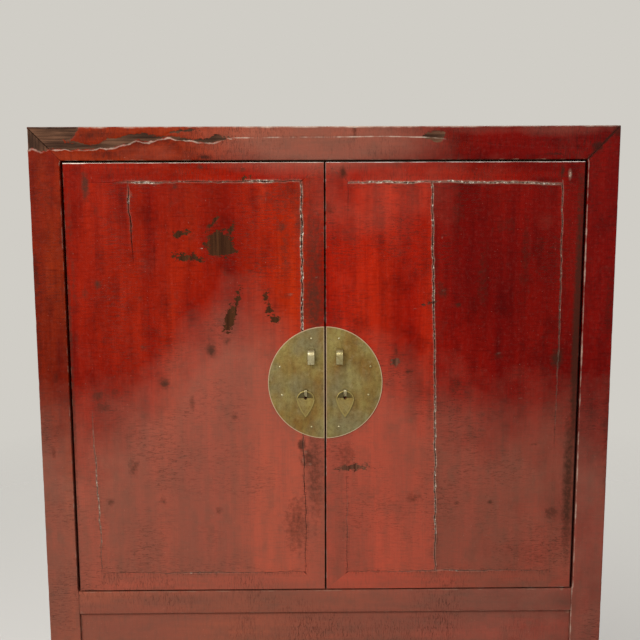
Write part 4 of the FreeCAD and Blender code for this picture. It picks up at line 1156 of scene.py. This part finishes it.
def lacquer(look, name, grain):
    # red lacquer over gesso on elm: pigment brushed along the grain, worn and crackled, under a soft gloss
    material, tree, place = newMaterial(name)
    marks = {k: addNode(tree, "Attribute", out="Fac", attribute_name=k) for k in lacquerMarks}
    ready = {"cleft": marks["cleft"]}
    ready["gesso"] = layOver(tree, place, grain, "#5a4438", gessoLayers, look, marks, ready)
    ready["wood"] = layOver(tree, place, grain, look["woodDark"], woodLayers, look, marks, ready)

    # fine crackle across the grain, denser beside the joints
    turned = [0.13, 0.13, 0.13]
    turned[grain] = 1.0
    hair = addNode(tree, "Mapping", {"Vector": place, "Scale": turned})
    hair = addNode(tree, "TexNoise", {"Vector": hair, "Scale": 330, "Detail": 2})
    hair = addNode(tree, "Math", {0: hair, 1: 0.5}, operation="SUBTRACT")
    hair = addNode(tree, "Math", {0: hair}, operation="ABSOLUTE")
    hair = addNode(tree, "MapRange", {"Value": hair, "From Min": 0.034, "From Max": 0.008, "To Max": 0.6})
    where = patchMask(tree, place, grain, crackleSpread, marks)
    beside = addNode(tree, "MapRange", {"Value": marks["flaking"], "From Min": 0.03, "From Max": 0.3})
    where = addNode(tree, "Math", {0: where, 1: beside}, operation="MAXIMUM")
    ready["crackle"] = addNode(tree, "Math", {0: hair, 1: where}, operation="MULTIPLY")

    # the ragged edge of a worn patch
    reach = 0.5 + look["ragged"] * 0.5
    tear = {"along": look["tear"], "detail": 7, "rough": 0.72, "mark": "bare", "push": look["ragged"]}
    tear = layer("tear", None, 10.5, (reach - 0.015, reach + 0.035), only=(0.02, 0.12), **tear)
    ready["through"] = patchMask(tree, place, grain, tear, marks)
    # the base colour darkens to the outer one with the painted tone: on the frame and the right door this is
    # painted shade, as the light falls from the left
    tones = {0: marks["tone"], 6: hexColour(look["base"]), 7: hexColour(look["outer"])}
    colour = addNode(tree, "Mix", tones, 2, data_type="RGBA")
    colour = layOver(tree, place, grain, colour, lacquerLayers, look, marks, ready)

    wornOff = addNode(tree, "Math", {0: ready["through"], 1: ready["chip"]}, operation="MAXIMUM")
    gloss = patchMask(tree, place, grain, glossSpread, marks)
    gloss = addNode(tree, "Math", {0: wornOff, 1: 0.35, 2: gloss}, operation="MULTIPLY_ADD")
    gloss = addNode(tree, "Math", {0: gloss, 1: look["gloss"]}, operation="ADD")
    relief = ready["brush"]
    for coat, height in reliefOf.items():
        relief = addNode(tree, "Math", {0: ready[coat], 1: height, 2: relief}, operation="MULTIPLY_ADD")
    finishMaterial(tree, (0.4, 0.0006), relief, Base_Color=colour, Roughness=gloss, IOR=1.14)
    return material


# Each look gives the colour of its painted sheen, the hazy reflection laid over the lacquer
lacquerLooks = {
    "leftDoor": {
        "name": "orangeRedLacquer", "ragged": 1.7, "tear": 1.5, "gloss": 0.3,
        "base": "#a22606", "outer": "#8a1a05", "dull": "#ae826a", "dust": "#7c6050",
        "grime": "#38241a", "paleLine": "#e8d8c6",
        "woodDark": "#2c1508", "woodPale": "#482a15", "woodStain": "#3a1e0e",
    },
    "rightDoor": {
        "name": "crimsonLacquer", "ragged": 1.5, "tear": 1.5, "gloss": 0.3,
        "base": "#ac240a", "outer": "#800e04", "dull": "#a47a62", "dust": "#8a7060",
        "grime": "#2e1c12", "paleLine": "#f2e8dc",
        "woodDark": "#3a1d14", "woodPale": "#6a4534", "woodStain": "#3a1e14",
    },
    "frame": {
        "name": "maroonLacquer", "ragged": 1.1, "tear": 0.45, "gloss": 0.36,
        "base": "#8a2c0b", "outer": "#7a0c04", "dull": "#a8806a", "dust": "#6c5446",
        "grime": "#2a130c", "paleLine": "#b8a290",
        "woodDark": "#342117", "woodPale": "#6c4a36", "woodStain": "#221610",
    },
}

brassLayers = (
    layer("cloud", "olive", 33, (0.38, 0.64), along=0.5, detail=5),
    layer("green", "grey", 66, (0.46, 0.64), detail=5, top=0.7),
    layer("wipe", "tarnish", 7, (0.46, 0.72), along=0.12, top=0.5),
    layer("mottle", "#c0b094", 8, (0.46, 0.68), detail=6, rough=0.65, top=0.6, lay="MULTIPLY"),
    layer("bright", "#b0a072", 14, (0.56, 0.72), detail=6, rough=0.65, top=0.35),
    layer("speck", "#4c3f22", 2.4, (0.6, 0.72), detail=3, top=0.5),
    layer("grit", "#a89878", 1.5, (0.45, 0.7), detail=2, top=0.3, lay="MULTIPLY"),
    layer("shadowed", "#40381f"),
    layer("edge", "rubbedEdge"),
)
brassSpread = layer("rough", None, 16, (0.3, 0.7), top=0.2)
brassSkips = {"ring": (), "wire": ("shadowed",), None: ("shadowed", "edge")}
# The lock plate in metres: its middle, where its rim and the sides of its slit are rubbed, and the painted
# shade and dirt behind the loop of each pull
plateRub = {
    "middle": (0, 0, 0.974),
    "rim": {"From Min": 0.1080, "From Max": 0.1092, "To Max": 0.85},
    "slit": {"From Min": 0.0034, "From Max": 0.0026, "To Max": 0.7},
    "loopAside": 0.038, "loopHeight": 0.9475, "loopFlat": 1.8,
    "shadeAndDirt": {"From Min": 0.016, "From Max": 0.010, "To Max": 0.75},
}


def plateMasks(tree, place):
    across = addNode(tree, "SeparateXYZ", {"Vector": place}, "X")
    height = addNode(tree, "SeparateXYZ", {"Vector": place}, "Z")
    flat = addNode(tree, "CombineXYZ", {"X": across, "Z": height})
    middle = addNode(tree, "VectorMath", {0: flat, 1: plateRub["middle"]}, "Value", operation="DISTANCE")
    ring = addNode(tree, "MapRange", {"Value": middle, **plateRub["rim"]})
    fromSlit = addNode(tree, "Math", {0: across}, operation="ABSOLUTE")
    slit = addNode(tree, "MapRange", {"Value": fromSlit, **plateRub["slit"]})
    edge = addNode(tree, "Math", {0: ring, 1: slit}, operation="MAXIMUM")
    aside = addNode(tree, "Math", {0: fromSlit, 1: -plateRub["loopAside"]}, operation="ADD")
    rise = {0: height, 1: plateRub["loopFlat"], 2: -plateRub["loopHeight"] * plateRub["loopFlat"]}
    upright = addNode(tree, "Math", rise, operation="MULTIPLY_ADD")
    spot = addNode(tree, "CombineXYZ", {"X": aside, "Y": upright})
    spot = addNode(tree, "VectorMath", {0: spot}, "Value", operation="LENGTH")
    return {"edge": edge, "shadowed": addNode(tree, "MapRange", {"Value": spot, **plateRub["shadeAndDirt"]})}


def agedBrass(look):
    # cast and hammered brass, brown and green with age, rubbed bright where hands and locks touch
    material, tree, place = newMaterial(look["name"])
    ready = {"edge": addNode(tree, "Attribute", out="Fac", attribute_name="rim")}
    if look["edge"] == "ring":
        ready = plateMasks(tree, place)
    layers = [coat for coat in brassLayers if coat["name"] not in brassSkips[look["edge"]]]
    colour = layOver(tree, place, 2, look["brown"], layers, look, {}, ready)
    rough = patchMask(tree, place, 2, brassSpread, {})
    rough = addNode(tree, "Math", {0: rough, 1: look["rough"]}, operation="ADD")
    dents = addNode(tree, "TexNoise", {"Vector": place, "Scale": 42, "Detail": 3})
    dents = addNode(tree, "Math", {0: ready["mottle"], 1: -0.15, 2: dents}, operation="MULTIPLY_ADD")
    metal = {"Base_Color": colour, "Roughness": rough, "Metallic": look["metal"]}
    finishMaterial(tree, (look["dents"], 0.0008), dents, **metal)
    return material


brassLooks = {
    "plate": {
        "name": "brownedBrass", "rough": 0.42, "metal": 0.7, "dents": 0.5, "edge": "ring",
        "brown": "#83622c", "olive": "#96864c", "grey": "#7c7658", "tarnish": "#6a5a2a",
        "rubbedEdge": "#c0a888",
    },
    "pull": {
        "name": "handledBrass", "rough": 0.38, "metal": 0.75, "dents": 0.3, "edge": "wire",
        "brown": "#8c6e36", "olive": "#a08e50", "grey": "#8c8056", "tarnish": "#80693a",
        "rubbedEdge": "#94834c",
    },
    "rubbed": {
        "name": "rubbedBrass", "rough": 0.24, "metal": 0.9, "dents": 0.08, "edge": None,
        "brown": "#a09468", "olive": "#c4ba94", "grey": "#b0a888", "tarnish": "#a09468",
    },
}

elmLook = {"dark": "#4a2e1a", "pale": "#86603c", "dusty": "#8d7b68"}
elmLayers = (
    layer("fibre", "pale", 5.5, (0.2, 0.84), along=0.03),
    layer("ring", "dark", 46, (0.48, 0.64), along=0.06, detail=3, top=0.45),
    layer("pore", "dark", 1.8, (0.58, 0.72), along=0.06, detail=2, top=0.5),
    layer("plank", "#a8937c", lay="MULTIPLY"),
    layer("dust", "dusty", 125, (0.45, 0.75), top=0.18),
)


def oldElm(name, grain):
    # old elm without finish: long brown fibres, greyed and dusty
    material, tree, place = newMaterial(name)
    ready = {"plank": addNode(tree, "Attribute", out="Fac", attribute_name="plank")}
    colour = layOver(tree, place, grain, elmLook["dark"], elmLayers, elmLook, {}, ready)
    finishMaterial(tree, (0.4, 0.0006), ready["fibre"], Base_Color=colour, Roughness=0.72, IOR=1.45)
    return material


def giveMaterial(piece, material):
    piece.data.materials.clear()
    piece.data.materials.append(material)


grains = ((0, "Across"), (1, "Deep"), (2, "Upright"))
finishes = {}
for finish, look in lacquerLooks.items():
    axes = grains if finish == "frame" else grains[::2]
    finishes[finish] = {axis: lacquer(look, look["name"] + end, axis) for axis, end in axes}
for finish, look in brassLooks.items():
    finishes[finish] = {0: agedBrass(look)}
finishes["elm"] = {axis: oldElm("oldElm" + end, axis) for axis, end in grains}
for piece, finish, grain in finished:
    giveMaterial(piece, finishes[finish][grain])
for name, node in frame["nodes"].items():
    if "nails" in name:
        giveMaterial(node, finishes["rubbed"][0])
print("materials given")

# Floor, light and camera. The floor, in metres, thins out into the backdrop.
stage = {"radius": 3.4, "solidTo": 0.9, "goneAt": 3.2, "low": -0.0005}
selectNothing()
bpy.ops.mesh.primitive_circle_add(
    vertices=96, radius=stage["radius"], fill_type="NGON", location=(0, 0, stage["low"])
)
floor = bpy.context.object
floor.name = "floor"
floorPaint, tree, place = newMaterial("palePaintedFloor")
shader = addNode(tree, "BsdfPrincipled", {"Base Color": hexColour("#d9d6d0"), "Roughness": 0.7})
reach = addNode(tree, "VectorMath", {0: place}, "Value", operation="LENGTH")
thin = addNode(tree, "MapRange", {"Value": reach, "From Min": stage["solidTo"], "From Max": stage["goneAt"]})
mixed = addNode(tree, "MixShader", {0: thin, 1: shader, 2: addNode(tree, "BsdfTransparent")})
addNode(tree, "OutputMaterial", {"Surface": mixed})
giveMaterial(floor, floorPaint)

world = bpy.data.worlds.new("studio")
bpy.context.scene.world = world
world.use_nodes = True
tree = world.node_tree
tree.nodes.clear()
seen = 0.0    # what the camera, metal and glass see is the backdrop, and the rest is a weak fill
for ray in ("Is Camera Ray", "Is Glossy Ray", "Is Transmission Ray"):
    isRay = addNode(tree, "LightPath", out=ray)
    seen = addNode(tree, "Math", {0: seen, 1: isRay}, operation="ADD", use_clamp=True)
fill = addNode(tree, "Background", {"Color": hexColour("#ffffff"), "Strength": 0.35})
backdrop = addNode(tree, "Background", {"Color": hexColour("#d0cdc6"), "Strength": 1.0})
addNode(tree, "OutputWorld", {"Surface": addNode(tree, "MixShader", {0: seen, 1: fill, 2: backdrop})})

# Soft lights: name, place, what they point at, size and power
lights = (
    ("keyLight", (-1.6, -2.2, 2.5), (-0.2, -0.2, 1.0), (1.6, 1.2), 88),
    ("fillLight", (2.2, -2.8, 1.8), (0.1, 0, 0.9), (1.6, 1.6), 16),
    ("backLight", (0.8, 2.8, 3.0), (0, 0.2, 0.9), (2.0, 1.2), 60),
    ("topGlint", (0.0, -1.9, 2.35), (0.0, -0.28, 1.03), (0.6, 0.3), 5),
)
for name, place, target, size, power in lights:
    selectNothing()
    bpy.ops.object.light_add(type="AREA", location=place)
    lamp = bpy.context.object
    lamp.name = name
    lamp.data.shape = "RECTANGLE"
    lamp.data.size, lamp.data.size_y = size
    lamp.data.energy = power
    lamp.rotation_mode = "QUATERNION"
    lamp.rotation_quaternion = (Vector(target) - Vector(place)).to_track_quat("-Z", "Y")

view = {"lens": 61.05, "place": (-31.8, -2300.35, 1443.7), "pitch": 9.67, "yaw": 0.62, "roll": -0.18}
bpy.ops.object.camera_add()
camera = bpy.context.object
camera.name = "photoCamera"
camera.data.lens = view["lens"]
camera.data.sensor_width = 36
pitch, yaw, roll = (math.radians(view[k]) for k in ("pitch", "yaw", "roll"))
forward = Vector((math.sin(yaw) * math.cos(pitch), math.cos(yaw) * math.cos(pitch), -math.sin(pitch)))
right = Vector((math.cos(yaw), -math.sin(yaw), 0))
up = right.cross(forward)
right, up = right * math.cos(roll) + up * math.sin(roll), up * math.cos(roll) - right * math.sin(roll)
turn = Matrix((right, up, -forward)).transposed()
camera.matrix_world = Matrix.Translation(Vector(view["place"]) * mm) @ turn.to_4x4()
camera.data.clip_start = 0.05
bpy.context.scene.camera = camera
bpy.context.scene.view_settings.view_transform = "Standard"
